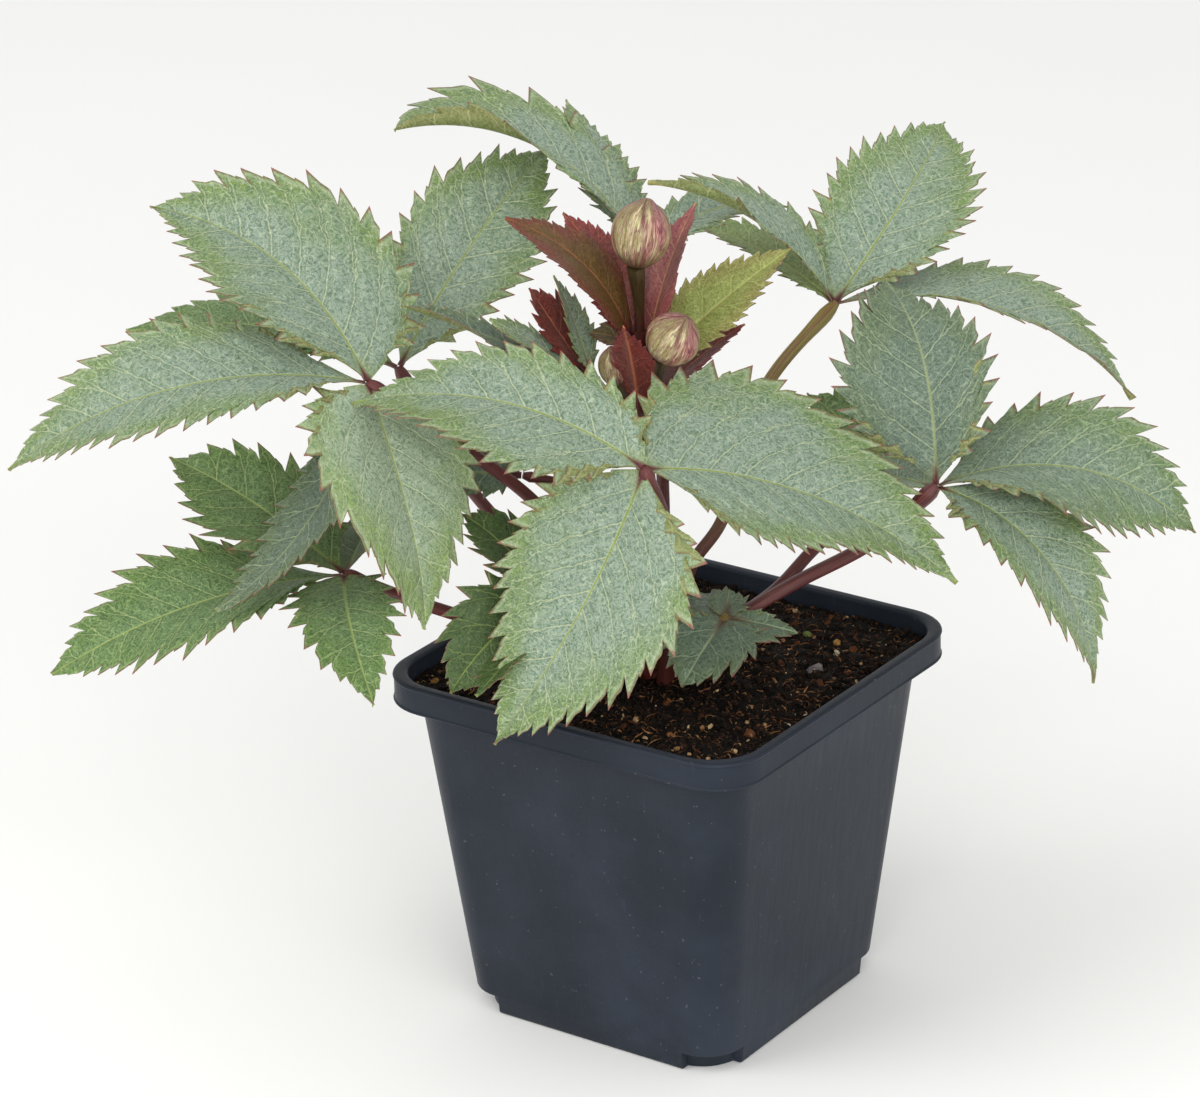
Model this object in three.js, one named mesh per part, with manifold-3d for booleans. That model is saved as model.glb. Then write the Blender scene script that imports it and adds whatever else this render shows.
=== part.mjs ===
// A young hellebore in a square nursery pot.
//
// Millimetres, +Z up. The origin is the centre of the pot's flat underside, and the pot's sides
// run along X and Y. Headings are measured in plan from +X towards +Y, climbs from the horizontal.

import * as THREE from 'three';
import { mergeVertices } from 'three/addons/utils/BufferGeometryUtils.js';
import Module from 'manifold-3d';

const wasm = await Module();
wasm.setup();

// ---------------------------------------------------------------- driving dimensions

const CLEARANCE = 0.3; // gap between pieces that touch

const POT_HEIGHT = 114;
const RIM_HALF = 65; // half the width across the rim
const RIM_CORNER = 16.5; // radius of the rim's corners, seen from above
const RIM_LIP = 3.7; // thickness of the collar
const COLLAR_HEIGHT = 9;
const BASE_HALF = 47; // half the width across the underside
const BODY_TOP_HALF = 59.6; // half the width the tapered body would have at the rim's height
const WALL = 1.4;
const FLOOR = 1.6;
const NOTCH_HEIGHT = 6; // the skin stops this far up at the four foot corners
const NOTCH_INSET = 2.8; // and shows a rounder wall set back by this much
const NOTCH_ROUND = 2; // that wall's corner radius is this much larger than the skin's
const NOTCH_REACH = 13; // how far each notch runs along the two sides
const DRAIN_RADIUS = 4;
const DRAIN_SPACING = 56; // between hole centres along each side of their square

const SOIL_BELOW_RIM = 5;

const CROWN = { x: 3, y: -5, radius: 8.5, top: 122, buried: 9 };
const STALK_RADIUS = 2.1; // leaf stalks
const KNOB_RADIUS = 2.9; // where a leaf stalk carries its leaflets
const SHOOT_RADIUS = 2.7; // the flowering stem
const SHOOT_HEAD = { x: -6, y: -4 }; // the axis its bracts stand around
const SIDE_KNOB_RADIUS = 2.6; // where the side shoot carries its bracts
const BUD_STALK_RADIUS = 1.7;

const BLADE_THICKNESS = 0.9; // at the midrib
const BLADE_FOLD = 10; // degrees each half is raised from flat
const BLADE_FULLNESS = 0.85; // higher is slimmer at both ends
const BLADE_BASE_SLIM = 0.28; // the blade narrows to its stalk over this part of its length
const BLADE_STEPS = 12;
const BLADE_SIDES = 8;

// ---------------------------------------------------------------- the plant's habit

// Each leaf stalk starts at foot: heading from the crown's axis, distance from it, and height
// above the soil. It runs through via to hub. Blades radiate from the hub. length and the left
// and right half widths are along the surface; aim is heading and climb at the base; bend is how
// much the heading turns and the climb falls by the tip; bank rolls the blade about its midrib,
// at base and tip; widest is where along the midrib it is widest.
const LEAVES = [
  {
    name: 'front', hub: [20, -41, 191], foot: [-62, 11.2, 0.7], via: [[12, -17, 145], [20, -31, 172]],
    blades: [
      { length: 92, widths: [28, 21], aim: [-160, 37], bend: [3, 55], bank: [-31, -11], widest: 0.44 },
      { length: 106, widths: [38, 31], aim: [69, -10], bend: [-60, 27], bank: [33, 11], widest: 0.38 },
      { length: 93, widths: [33, 29], aim: [-117, -66], bend: [-12, -16], bank: [-45, -29], widest: 0.4 },
    ],
  },
  {
    name: 'left_upper', hub: [-65, -60, 207], foot: [-150, 10, 3.5], via: [[-25, -25, 160], [-46, -45, 188]],
    blades: [
      { length: 114, widths: [22, 25], aim: [-128, 20], bend: [-16, 59], bank: [-6, -30], widest: 0.47 },
      { length: 92, widths: [27, 33], aim: [161, 51], bend: [39, 46], bank: [5, -33], widest: 0.45 },
      { length: 79, widths: [26, 32], aim: [-38, -28], bend: [24, 66], bank: [-10, -24], widest: 0.4 },
      { length: 84, widths: [15, 13], aim: [-91, -64], bend: [-21, -45], bank: [12, 2], widest: 0.5 },
    ],
  },
  {
    name: 'left_back', hub: [-84, -20, 195], foot: [-178, 10.6, 2], via: [[-37, -16, 140], [-61, -22, 166]],
    blades: [
      { length: 86, widths: [22, 21], aim: [73, 54], bend: [14, 30], bank: [17, 44], widest: 0.54 },
      { length: 93, widths: [14, 21], aim: [-166, 21], bend: [0, 40], bank: [-8, -11], widest: 0.47 },
    ],
  },
  {
    name: 'back', hub: [-30, 34, 225], foot: [128, 11.2, 0.7], via: [[-8, 10, 160], [-19, 24, 197]],
    blades: [
      { length: 92, widths: [8, 26], aim: [-174, 63], bend: [44, 71], bank: [-2, -4], widest: 0.58 },
      { length: 75, widths: [16, 9], aim: [141, 29], bend: [6, 12], bank: [20, 20], widest: 0.46 },
      { length: 56, widths: [12, 12], aim: [70, 34], bend: [-6, 58], bank: [5, 10], widest: 0.46 },
    ],
  },
  {
    name: 'right_upper', hub: [18, 67, 208], foot: [88, 11.2, 0.7], via: [[3.5, 6.5, 138], [9, 16, 152], [8, 42, 186]],
    blades: [
      { length: 76, widths: [9, 20], aim: [-135, 63], bend: [6, 51], bank: [-29, 13], widest: 0.42 },
      { length: 65, widths: [7, 13], aim: [161, 20], bend: [20, 16], bank: [-4, -4], widest: 0.46 },
      { length: 84, widths: [23, 23], aim: [81, 37], bend: [26, 23], bank: [10, 22], widest: 0.5 },
      { length: 103, widths: [25, 14], aim: [31, 16], bend: [2, 70], bank: [-9, 10], widest: 0.47 },
    ],
  },
  {
    name: 'right', hub: [69, 42, 167], foot: [25, 7.5, 9], via: [[21, 3, 127], [34, 18, 136.5], [54, 32, 150]],
    blades: [
      { length: 72, widths: [27, 19], aim: [129, 88], bend: [22, 75], bank: [-42, 18], widest: 0.5 },
      { length: 86, widths: [26, 27], aim: [38, 25], bend: [-4, 75], bank: [-5, 50], widest: 0.45 },
      { length: 84, widths: [20, 20], aim: [-5, 4], bend: [10, 93], bank: [9, -4], widest: 0.48 },
      { length: 40, widths: [13, 13], aim: [163, -4], bend: [12, 4], bank: [-8, -8], widest: 0.46 },
    ],
  },
  {
    name: 'right_back', hub: [42, 69, 154], foot: [58, 7.5, 7], via: [[20, 27, 127], [28, 43, 140]],
    blades: [
      { length: 48, widths: [14, 14], aim: [167, 30], bend: [-6, 21], bank: [-20, -10], widest: 0.46 },
    ],
  },
  {
    name: 'left_lower', hub: [-67, -73, 150], foot: [-116, 8, 5.5], via: [[-32, -38, 127], [-52, -58, 139]],
    blades: [
      { length: 93, widths: [23, 23], aim: [-128, 5], bend: [-5, 36], bank: [14, -44], widest: 0.45 },
      { length: 68, widths: [22, 20], aim: [-177, 34], bend: [-1, 24], bank: [-2, -29], widest: 0.46 },
      { length: 65, widths: [14, 17], aim: [-54, 2], bend: [17, 31], bank: [7, -2], widest: 0.42 },
      { length: 38, widths: [13, 13], aim: [108, 18], bend: [4, 13], bank: [-30, -20], widest: 0.46 },
    ],
  },
  {
    name: 'inner_front', hub: [-12, -47, 145], foot: [-92, 10.4, 3], via: [[-3, -30, 130]],
    blades: [
      { length: 42, widths: [15, 16], aim: [-108, -10], bend: [0, 39], bank: [-50, -50], widest: 0.46 },
      { length: 36, widths: [14, 14], aim: [-160, 62], bend: [-9, 38], bank: [-9, -14], widest: 0.46 },
    ],
  },
  {
    name: 'soil_side', hub: [26, -8, 133], foot: [-22, 10.1, 3], via: [[17, -8, 122]],
    blades: [
      { length: 29, widths: [18, 14], aim: [-85, -14], bend: [-4, 23], bank: [-6, -4], widest: 0.42 },
      { length: 22, widths: [5, 9], aim: [26, -4], bend: [6, 16], bank: [16, 16], widest: 0.5 },
      { length: 22, widths: [12, 7], aim: [140, 5], bend: [6, 14], bank: [-8, -8], widest: 0.5 },
    ],
  },
];

// The one leaf that springs from the flowering stem instead of the crown.
const STEM_LEAF = {
  name: 'stem_leaf', hub: [-33, -27, 173], from: [-8.4, -6, 160], via: [[-20, -16, 168]],
  blades: [
    { length: 32, widths: [8, 9], aim: [-140, 11], bend: [-2, 16], bank: [-50, -50], widest: 0.46 },
  ],
};

// The flowering stem and its side shoot, as routes.
const SHOOT = [[3, -5, 108], [-1, -3, 140], [-5, -3, 168], [-6, -4, 192], [-6, -4, 217]];
const SIDE_SHOOT = [[-5.5, -4, 183], [-11, -7, 192], [-18, -12, 202]];

// Buds: centre, half width, half height, the heading and climb of the axis they point along, and
// the route of the stalk that carries them.
const BUDS = [
  { at: [-4, -5, 248], half: [8.6, 10.3], aim: [-40, 78], stalk: [[-6, -4, 212], [-6, -4, 226]] },
  { at: [10, -10, 219.5], half: [7.9, 8.2], aim: [-35, 55], stalk: [[-5.5, -4, 196], [0, -6, 202]] },
  { at: [-11.1, -9.9, 206.6], half: [4.7, 6.4], aim: [-125, 80], stalk: [[-6, -4, 190], [-8, -7, 195]] },
];

// Bracts: blades around the head of the shoot, at a turn and a height, and around the knob of
// its side shoot.
const BRACTS = [
  { tone: 'redBract', turn: -150, height: 214, length: 56, widths: [13, 10],
    aim: [-138, 76], bend: [-7, 57], bank: [-21, -28] },
  { tone: 'redBract', turn: 165, height: 214, length: 44, widths: [9, 9],
    aim: [173, 72], bend: [1, 42], bank: [-30, -30] },
  { tone: 'redBract', turn: 25, height: 209, length: 49, widths: [11, 11],
    aim: [84, 77], bend: [1, 34], bank: [-23, -26] },
  { tone: 'greenBract', turn: 15, height: 205, length: 56, widths: [12, 10],
    aim: [56, 41], bend: [0, 14], bank: [34, 28] },
  { tone: 'redBract', turn: 30, height: 194, length: 37, widths: [7, 6],
    aim: [50, 44], bend: [0, 16], bank: [-14, -14] },
  { tone: 'greenBract', turn: 185, height: 212, length: 13, widths: [5, 7],
    aim: [195, 28], bend: [2, 34], bank: [-14, -14] },
  { tone: 'redBract', turn: -60, height: 192, length: 41, widths: [7, 6],
    aim: [-68, 69], bend: [1, 20], bank: [-8, -8] },
];
const SIDE_BRACTS = [
  { tone: 'greyBract', length: 39, widths: [9, 6],
    aim: [-124, 41], bend: [-5, 9], bank: [-4, -24], widest: 0.6 },
  { tone: 'greyBract', length: 33, widths: [7, 7],
    aim: [158, 67], bend: [20, 10], bank: [20, 20], widest: 0.5 },
  { tone: 'redBract', length: 33, widths: [8, 10],
    aim: [-172, 50], bend: [10, -8], bank: [2, -14], widest: 0.6 },
  { tone: 'greyBract', length: 62, widths: [9, 7],
    aim: [-140, 28], bend: [4, 4], bank: [-10, -14], widest: 0.58 },
];

const COLOURS = {
  pot: 0x383d46,
  soil: 0x2a1c14,
  stalk: 0x5a2d2d,
  leaf: 0x7f9c7c,
  lowerLeaf: 0x56773f,
  redBract: 0x7a3038,
  greenBract: 0x8f9c56,
  greyBract: 0x7f9780,
  bud: 0xb9b48a,
};

// ---------------------------------------------------------------- small helpers

const radians = THREE.MathUtils.degToRad;
const lerp = THREE.MathUtils.lerp;

function vector(point) {
  return new THREE.Vector3(...point);
}

function compass(heading, climb) {
  const level = Math.cos(radians(climb));
  return new THREE.Vector3(
    level * Math.cos(radians(heading)),
    level * Math.sin(radians(heading)),
    Math.sin(radians(climb)),
  );
}

function toSolid(geometry) {
  const bare = geometry.clone();
  bare.deleteAttribute('normal');
  bare.deleteAttribute('uv');
  const merged = mergeVertices(bare, 1e-4);
  return new wasm.Manifold(new wasm.Mesh({
    numProp: 3,
    vertProperties: merged.getAttribute('position').array,
    triVerts: new Uint32Array(merged.getIndex().array),
  }));
}

function toGeometry(solid) {
  const mesh = solid.getMesh();
  const geometry = new THREE.BufferGeometry();
  geometry.setAttribute('position', new THREE.BufferAttribute(new Float32Array(mesh.vertProperties), 3));
  geometry.setIndex(new THREE.BufferAttribute(new Uint32Array(mesh.triVerts), 1));
  geometry.computeVertexNormals();
  return geometry;
}

function piece(name, geometry, colour, roughness = 0.6) {
  const material = new THREE.MeshStandardMaterial({ color: colour, roughness, metalness: 0 });
  const mesh = new THREE.Mesh(geometry, material);
  mesh.name = name;
  return mesh;
}

// ---------------------------------------------------------------- pot and soil

function roundedSquare(half, corner) {
  const flat = half - corner;
  const shape = new THREE.Shape();
  shape.moveTo(-flat, -half);
  shape.lineTo(flat, -half);
  shape.absarc(flat, -flat, corner, -Math.PI / 2, 0);
  shape.lineTo(half, flat);
  shape.absarc(flat, flat, corner, 0, Math.PI / 2);
  shape.lineTo(-flat, half);
  shape.absarc(-flat, flat, corner, Math.PI / 2, Math.PI);
  shape.lineTo(-half, -flat);
  shape.absarc(-flat, -flat, corner, Math.PI, 1.5 * Math.PI);
  return shape;
}

// A rounded square block whose half width changes evenly from its lower to its upper end.
function taperedBlock(low, high) {
  const shape = roundedSquare(high.half, high.corner);
  const geometry = new THREE.ExtrudeGeometry(shape, {
    depth: high.z - low.z, bevelEnabled: false, steps: 1, curveSegments: 3,
  });
  const position = geometry.getAttribute('position');
  for (let i = 0; i < position.count; i += 1) {
    const atTop = position.getZ(i) > (high.z - low.z) / 2;
    const scale = atTop ? 1 : low.half / high.half;
    position.setXYZ(i, position.getX(i) * scale, position.getY(i) * scale, atTop ? high.z : low.z);
  }
  return toSolid(geometry);
}

// Half width of the body's outside at a height.
function bodyHalf(z) {
  return lerp(BASE_HALF, BODY_TOP_HALF, z / POT_HEIGHT);
}

function bodyCorner(half) {
  return RIM_CORNER * half / RIM_HALF;
}

// The tapered body between two heights, drawn in by inset.
function bodyBlock(lowZ, highZ, inset, extraRound = 0) {
  const high = bodyHalf(highZ) - inset;
  return taperedBlock(
    { half: bodyHalf(lowZ) - inset, z: lowZ },
    { half: high, z: highZ, corner: bodyCorner(high) + extraRound },
  );
}

function collarBlock(lowZ, highZ, inset) {
  const half = RIM_HALF - inset;
  return taperedBlock({ half, z: lowZ }, { half, z: highZ, corner: RIM_CORNER - inset });
}

function footNotches() {
  const side = 2 * NOTCH_REACH;
  const corners = [[1, 1], [-1, 1], [-1, -1], [1, -1]].map(([sx, sy]) => {
    const box = new THREE.BoxGeometry(side, side, 2 * NOTCH_HEIGHT);
    box.translate(sx * BASE_HALF, sy * BASE_HALF, 0);
    return toSolid(box);
  });
  const blocks = corners[0].add(corners[1]).add(corners[2]).add(corners[3]);
  return blocks.subtract(bodyBlock(-2, NOTCH_HEIGHT + 2, NOTCH_INSET, NOTCH_ROUND));
}

function drainHoles() {
  const reach = DRAIN_SPACING / 2;
  const holes = [[1, 1], [-1, 1], [-1, -1], [1, -1]].map(([sx, sy]) => {
    const hole = new THREE.CylinderGeometry(DRAIN_RADIUS, DRAIN_RADIUS, 4 * FLOOR, 12);
    hole.rotateX(Math.PI / 2);
    hole.translate(sx * reach, sy * reach, FLOOR / 2);
    return toSolid(hole);
  });
  return holes[0].add(holes[1]).add(holes[2]).add(holes[3]);
}

// What the pot holds: drawn in behind the foot notches, and widest inside the collar.
function cavity(gap) {
  const shelf = NOTCH_HEIGHT + WALL;
  const ledge = POT_HEIGHT - COLLAR_HEIGHT + WALL;
  const lower = bodyBlock(FLOOR + gap, shelf + 2, NOTCH_INSET + WALL + gap, NOTCH_ROUND);
  const upper = bodyBlock(shelf + gap, ledge + 2, WALL + gap);
  const wide = collarBlock(ledge + gap, POT_HEIGHT + 1, RIM_LIP + gap);
  return lower.add(upper).add(wide);
}

function makePot() {
  const solid = collarBlock(POT_HEIGHT - COLLAR_HEIGHT, POT_HEIGHT, 0)
    .add(bodyBlock(0, POT_HEIGHT - COLLAR_HEIGHT + WALL / 2, 0))
    .subtract(cavity(0))
    .subtract(footNotches())
    .subtract(drainHoles());
  return piece('pot', toGeometry(solid), COLOURS.pot, 0.55);
}

function crownSolid(gap) {
  const { radius, top, buried, x, y } = CROWN;
  const soilTop = POT_HEIGHT - SOIL_BELOW_RIM;
  const foot = soilTop - buried - gap;
  const profile = [
    new THREE.Vector2(0, foot),
    new THREE.Vector2(radius * 0.7 + gap, foot),
    new THREE.Vector2(radius + gap, foot + buried * 0.6),
    new THREE.Vector2(radius + gap, soilTop + 1),
    new THREE.Vector2(radius * 0.7 + gap, top - 2),
    new THREE.Vector2(0, top + gap),
  ];
  const geometry = new THREE.LatheGeometry(profile, 12);
  geometry.rotateX(Math.PI / 2);
  geometry.translate(x, y, 0);
  return toSolid(geometry);
}

function makeSoil() {
  const soilTop = POT_HEIGHT - SOIL_BELOW_RIM;
  const above = new THREE.BoxGeometry(3 * RIM_HALF, 3 * RIM_HALF, POT_HEIGHT);
  above.translate(0, 0, soilTop + POT_HEIGHT / 2);
  const solid = cavity(CLEARANCE).subtract(toSolid(above)).subtract(crownSolid(CLEARANCE));
  return piece('soil', toGeometry(solid), COLOURS.soil, 0.95);
}

// ---------------------------------------------------------------- stalks

function tube(points, radius, steps) {
  const circle = new THREE.Shape().absarc(0, 0, radius, 0, 2 * Math.PI);
  const path = new THREE.CatmullRomCurve3(points.map(vector), false, 'centripetal');
  return toSolid(new THREE.ExtrudeGeometry(circle, {
    extrudePath: path, steps, curveSegments: 4,
  }));
}

function knob(point, radius) {
  const sphere = new THREE.SphereGeometry(radius, 8, 6);
  sphere.translate(...point);
  return toSolid(sphere);
}

function makeShoot() {
  let solid = crownSolid(0).add(tube(SHOOT, SHOOT_RADIUS, 10));
  solid = solid.add(tube(SIDE_SHOOT, BUD_STALK_RADIUS, 4));
  solid = solid.add(knob(SIDE_SHOOT.at(-1), SIDE_KNOB_RADIUS));
  for (const bud of BUDS) {
    const end = vector(bud.at).addScaledVector(compass(...bud.aim), -bud.half[1] - 2 * CLEARANCE);
    solid = solid.add(tube([...bud.stalk, end.toArray()], BUD_STALK_RADIUS, 5));
  }
  return piece('stem', toGeometry(solid), COLOURS.stalk);
}

function stalkFoot([heading, distance, height]) {
  const foot = new THREE.Vector3(CROWN.x, CROWN.y, POT_HEIGHT - SOIL_BELOW_RIM + CLEARANCE + height);
  return foot.addScaledVector(compass(heading, 0), distance).toArray();
}

function makeStalk(leaf) {
  const route = [leaf.from ?? stalkFoot(leaf.foot), ...leaf.via, leaf.hub];
  const steps = 4 + 2 * leaf.via.length;
  const solid = tube(route, STALK_RADIUS, steps)
    .add(knob(leaf.hub, KNOB_RADIUS))
    .subtract(crownSolid(CLEARANCE));
  return piece(`stalk_${leaf.name}`, toGeometry(solid), COLOURS.stalk);
}

// ---------------------------------------------------------------- blades

function bladeFrame(plan, t) {
  const heading = plan.aim[0] + plan.bend[0] * t;
  const along = compass(heading, plan.aim[1] - plan.bend[1] * t);
  const left = compass(heading + 90, 0);
  left.applyAxisAngle(along, radians(lerp(plan.bank[0], plan.bank[1], t)));
  const face = along.clone().cross(left);
  return { along, left, face };
}

function bladeWidth(t, widest) {
  const tipPower = BLADE_FULLNESS * (1 - widest) / widest;
  const oval = (t / widest) ** BLADE_FULLNESS * ((1 - t) / (1 - widest)) ** tipPower;
  return oval * Math.min(1, t / BLADE_BASE_SLIM) ** 0.8;
}

// The midrib, walked in short straight lengths from the foot.
function midrib(foot, plan, t) {
  const strides = 24;
  const point = vector(foot);
  for (let i = 0; i < strides; i += 1) {
    const middle = t * (i + 0.5) / strides;
    point.addScaledVector(bladeFrame(plan, middle).along, plan.length * t / strides);
  }
  return point;
}

// Turns the diagonals on the lower half of a cylinder's side, so that once it is flattened both
// faces crease along the same lines and keep their distance where the blade twists.
function matchDiagonals(cylinder) {
  const index = cylinder.getIndex();
  const position = cylinder.getAttribute('position');
  for (let i = 0; i < 6 * BLADE_SIDES * BLADE_STEPS; i += 6) {
    const [a, b, d, , c] = index.array.slice(i, i + 6);
    if (position.getZ(a) + position.getZ(c) < 0) index.array.set([a, b, c, a, c, d], i);
  }
}

// A closed lens-shaped blade: a cylinder whose rings are flattened, folded and set along the
// midrib. It starts a little way from its foot, clear of the stalk.
function bladeGeometry(foot, plan, start) {
  const widest = plan.widest ?? 0.46;
  const geometry = new THREE.CylinderGeometry(1, 1, 1, BLADE_SIDES, BLADE_STEPS);
  matchDiagonals(geometry);
  const position = geometry.getAttribute('position');
  const fold = radians(BLADE_FOLD);
  const first = start / plan.length;
  for (let i = 0; i < position.count; i += 1) {
    const t = lerp(first, 1, position.getY(i) + 0.5);
    const across = -position.getX(i);
    const { left, face } = bladeFrame(plan, t);
    const half = plan.widths[across > 0 ? 0 : 1] * bladeWidth(Math.min(t, 0.999), widest);
    const reach = across * Math.max(half, 0.5);
    const taper = lerp(1, 0.4, t);
    const lift = Math.abs(reach) * Math.sin(fold) + position.getZ(i) * taper * BLADE_THICKNESS / 2;
    const point = midrib(foot, plan, t);
    point.addScaledVector(left, reach * Math.cos(fold)).addScaledVector(face, lift);
    position.setXYZ(i, point.x, point.y, point.z);
  }
  return toGeometry(toSolid(geometry));
}

function makeLeaf(leaf, colour) {
  const parts = [makeStalk(leaf)];
  leaf.blades.forEach((plan, i) => {
    const geometry = bladeGeometry(leaf.hub, plan, KNOB_RADIUS + CLEARANCE);
    parts.push(piece(`leaflet_${leaf.name}_${i + 1}`, geometry, colour));
  });
  return parts;
}

function bractFoot({ turn, height }) {
  const foot = new THREE.Vector3(SHOOT_HEAD.x, SHOOT_HEAD.y, height);
  return foot.addScaledVector(compass(turn, 0), SHOOT_RADIUS + BLADE_THICKNESS).toArray();
}

function makeBracts() {
  const main = BRACTS.map((plan, i) => {
    const geometry = bladeGeometry(bractFoot(plan), plan, CLEARANCE);
    return piece(`bract_${i + 1}`, geometry, COLOURS[plan.tone]);
  });
  const side = SIDE_BRACTS.map((plan, i) => {
    const geometry = bladeGeometry(SIDE_SHOOT.at(-1), plan, SIDE_KNOB_RADIUS + CLEARANCE);
    return piece(`side_bract_${i + 1}`, geometry, COLOURS[plan.tone]);
  });
  return [...main, ...side];
}

function makeBud(bud, i) {
  const sphere = new THREE.SphereGeometry(1, 12, 8);
  sphere.rotateX(Math.PI / 2);
  sphere.scale(bud.half[0], bud.half[0], bud.half[1]);
  const upright = new THREE.Vector3(0, 0, 1);
  sphere.applyQuaternion(new THREE.Quaternion().setFromUnitVectors(upright, compass(...bud.aim)));
  sphere.translate(...bud.at);
  return piece(`bud_${i + 1}`, toGeometry(toSolid(sphere)), COLOURS.bud, 0.5);
}

// ---------------------------------------------------------------- the whole plant

const LOWER_LEAVES = ['left_lower', 'inner_front', 'soil_side'];

const hellebore = new THREE.Group();
hellebore.add(makePot(), makeSoil(), makeShoot());
for (const leaf of [...LEAVES, STEM_LEAF]) {
  const colour = LOWER_LEAVES.includes(leaf.name) ? COLOURS.lowerLeaf : COLOURS.leaf;
  hellebore.add(...makeLeaf(leaf, colour));
}
hellebore.add(...makeBracts(), ...BUDS.map(makeBud));

export default hellebore;
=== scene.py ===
"""A young hellebore in a square nursery pot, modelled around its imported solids.

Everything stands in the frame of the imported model: the origin is the centre of the pot's flat
underside, +Z is up, and the pot's sides run along X and Y. Sizes are written in millimetres and
become metres through MM. Headings are degrees in plan from +X towards +Y, climbs from the level.
"""

import logging
import math
import random
from collections.abc import Callable, Iterator, Sequence
from contextlib import contextmanager
from dataclasses import dataclass, field
from enum import Enum
from functools import cache

import bpy
import numpy as np
from mathutils import Matrix, Vector, noise


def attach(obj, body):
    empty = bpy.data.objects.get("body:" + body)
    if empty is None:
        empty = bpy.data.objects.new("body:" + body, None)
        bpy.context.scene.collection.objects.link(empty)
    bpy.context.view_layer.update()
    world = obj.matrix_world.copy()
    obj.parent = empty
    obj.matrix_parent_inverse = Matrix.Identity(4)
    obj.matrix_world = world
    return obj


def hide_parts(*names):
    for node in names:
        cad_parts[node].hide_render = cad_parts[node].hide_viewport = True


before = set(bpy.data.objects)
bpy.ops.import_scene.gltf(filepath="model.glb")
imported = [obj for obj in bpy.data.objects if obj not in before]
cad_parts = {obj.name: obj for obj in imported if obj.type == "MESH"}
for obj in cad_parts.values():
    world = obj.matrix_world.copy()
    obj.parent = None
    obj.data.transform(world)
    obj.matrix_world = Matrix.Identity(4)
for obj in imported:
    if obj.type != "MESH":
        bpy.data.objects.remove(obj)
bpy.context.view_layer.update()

MM = 0.001
TURN = 6.2832  # once round, in radians
SOIL_TOP = 109.0  # height of the potting mix
CROWN = (3.0, -5.0)  # where the crown stands on it
log = logging.getLogger("hellebore")

Piece = bpy.types.Object
Material = bpy.types.Material
Socket = bpy.types.NodeSocket
Array = np.ndarray
Pair = tuple[float, float]
Point = tuple[float, float, float]
Route = Sequence[Point]
Colour = tuple[float, float, float, float]


# ---------------------------------------------------------------- small tools


def ink(code: str) -> Colour:
    """Turns a printed colour into the linear colour that a shader takes.

    Args:
        code: Red, green and blue in two digits each, such as "7f9a80".

    Returns:
        Red, green, blue and a full alpha, from 0 to 1.
    """
    parts = [int(code[i : i + 2], 16) / 255 for i in (0, 2, 4)]
    red, green, blue = (p / 12.92 if p <= 0.04045 else ((p + 0.055) / 1.055) ** 2.4 for p in parts)
    return red, green, blue, 1.0


def smoothstep(low: float, high: float, value: Array) -> Array:
    """Rises smoothly from 0 at low to 1 at high."""
    x = np.clip((value - low) / (high - low), 0, 1)
    return x * x * (3 - 2 * x)


def compass(heading: float | Array, climb: float | Array) -> Array:
    """Unit vectors for headings and climbs in degrees, one in each row."""
    h, c = np.radians(heading), np.radians(climb)
    return np.stack([np.cos(c) * np.cos(h), np.cos(c) * np.sin(h), np.sin(c) + 0 * h], axis=-1)


def nothing_selected() -> None:
    """Leaves edit mode if need be and deselects everything."""
    if bpy.context.object and bpy.context.object.mode == "EDIT":
        bpy.ops.object.mode_set(mode="OBJECT")
    bpy.ops.object.select_all(action="DESELECT")


def only(piece: Piece) -> None:
    """Makes one object the selected and active one.

    Args:
        piece: The object.
    """
    nothing_selected()
    piece.select_set(True)
    bpy.context.view_layer.objects.active = piece


@contextmanager
def editing(piece: Piece) -> Iterator[None]:
    """Keeps a piece open in edit mode, at first with all of it selected.

    Args:
        piece: The object.

    Yields:
        Nothing: the piece is closed again afterwards.
    """
    only(piece)
    bpy.ops.object.mode_set(mode="EDIT")
    bpy.ops.mesh.select_all(action="SELECT")
    yield
    bpy.ops.object.mode_set(mode="OBJECT")


def begin(name: str, primitive: Callable[..., object], **settings: object) -> Piece:
    """Adds a primitive and moves its place into its mesh.

    Args:
        name: The piece's name.
        primitive: The operator that adds it.
        **settings: What the operator is told.

    Returns:
        The object, at the origin and unturned.
    """
    nothing_selected()
    primitive(**settings)
    piece = bpy.context.object
    bpy.ops.object.transform_apply(location=True, rotation=True, scale=True)
    piece.name = piece.data.name = name
    return piece


def lattice(name: str, columns: int, rows: int) -> tuple[Piece, Array, Array]:
    """Adds a grid from -1 to 1.

    Args:
        name: The piece's name.
        columns: Faces across.
        rows: Faces along.

    Returns:
        The object, and each vertex's column and row.
    """
    grid = bpy.ops.mesh.primitive_grid_add
    piece = begin(name, grid, x_subdivisions=columns, y_subdivisions=rows, size=2)
    share = (points_of(piece) + 1) / 2
    column = np.rint(share[:, 0] * columns).astype(int)
    row = np.rint(share[:, 1] * rows).astype(int)
    return piece, column, row


def link(name: str, data: bpy.types.ID) -> Piece:
    """Puts a mesh, camera or lamp into the scene.

    Args:
        name: The object's name.
        data: What it shows.

    Returns:
        The object.
    """
    made = bpy.data.objects.new(name, data)
    bpy.context.scene.collection.objects.link(made)
    return made


def apply_modifier(piece: Piece, kind: str, **settings: object) -> None:
    """Adds a modifier and applies it.

    Args:
        piece: The object it acts on.
        kind: Blender's name of the modifier's type.
        **settings: The modifier's properties.
    """
    only(piece)
    modifier = piece.modifiers.new(kind.title(), kind)
    for key, value in settings.items():
        setattr(modifier, key, value)
    bpy.ops.object.modifier_apply(modifier=modifier.name)


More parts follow.
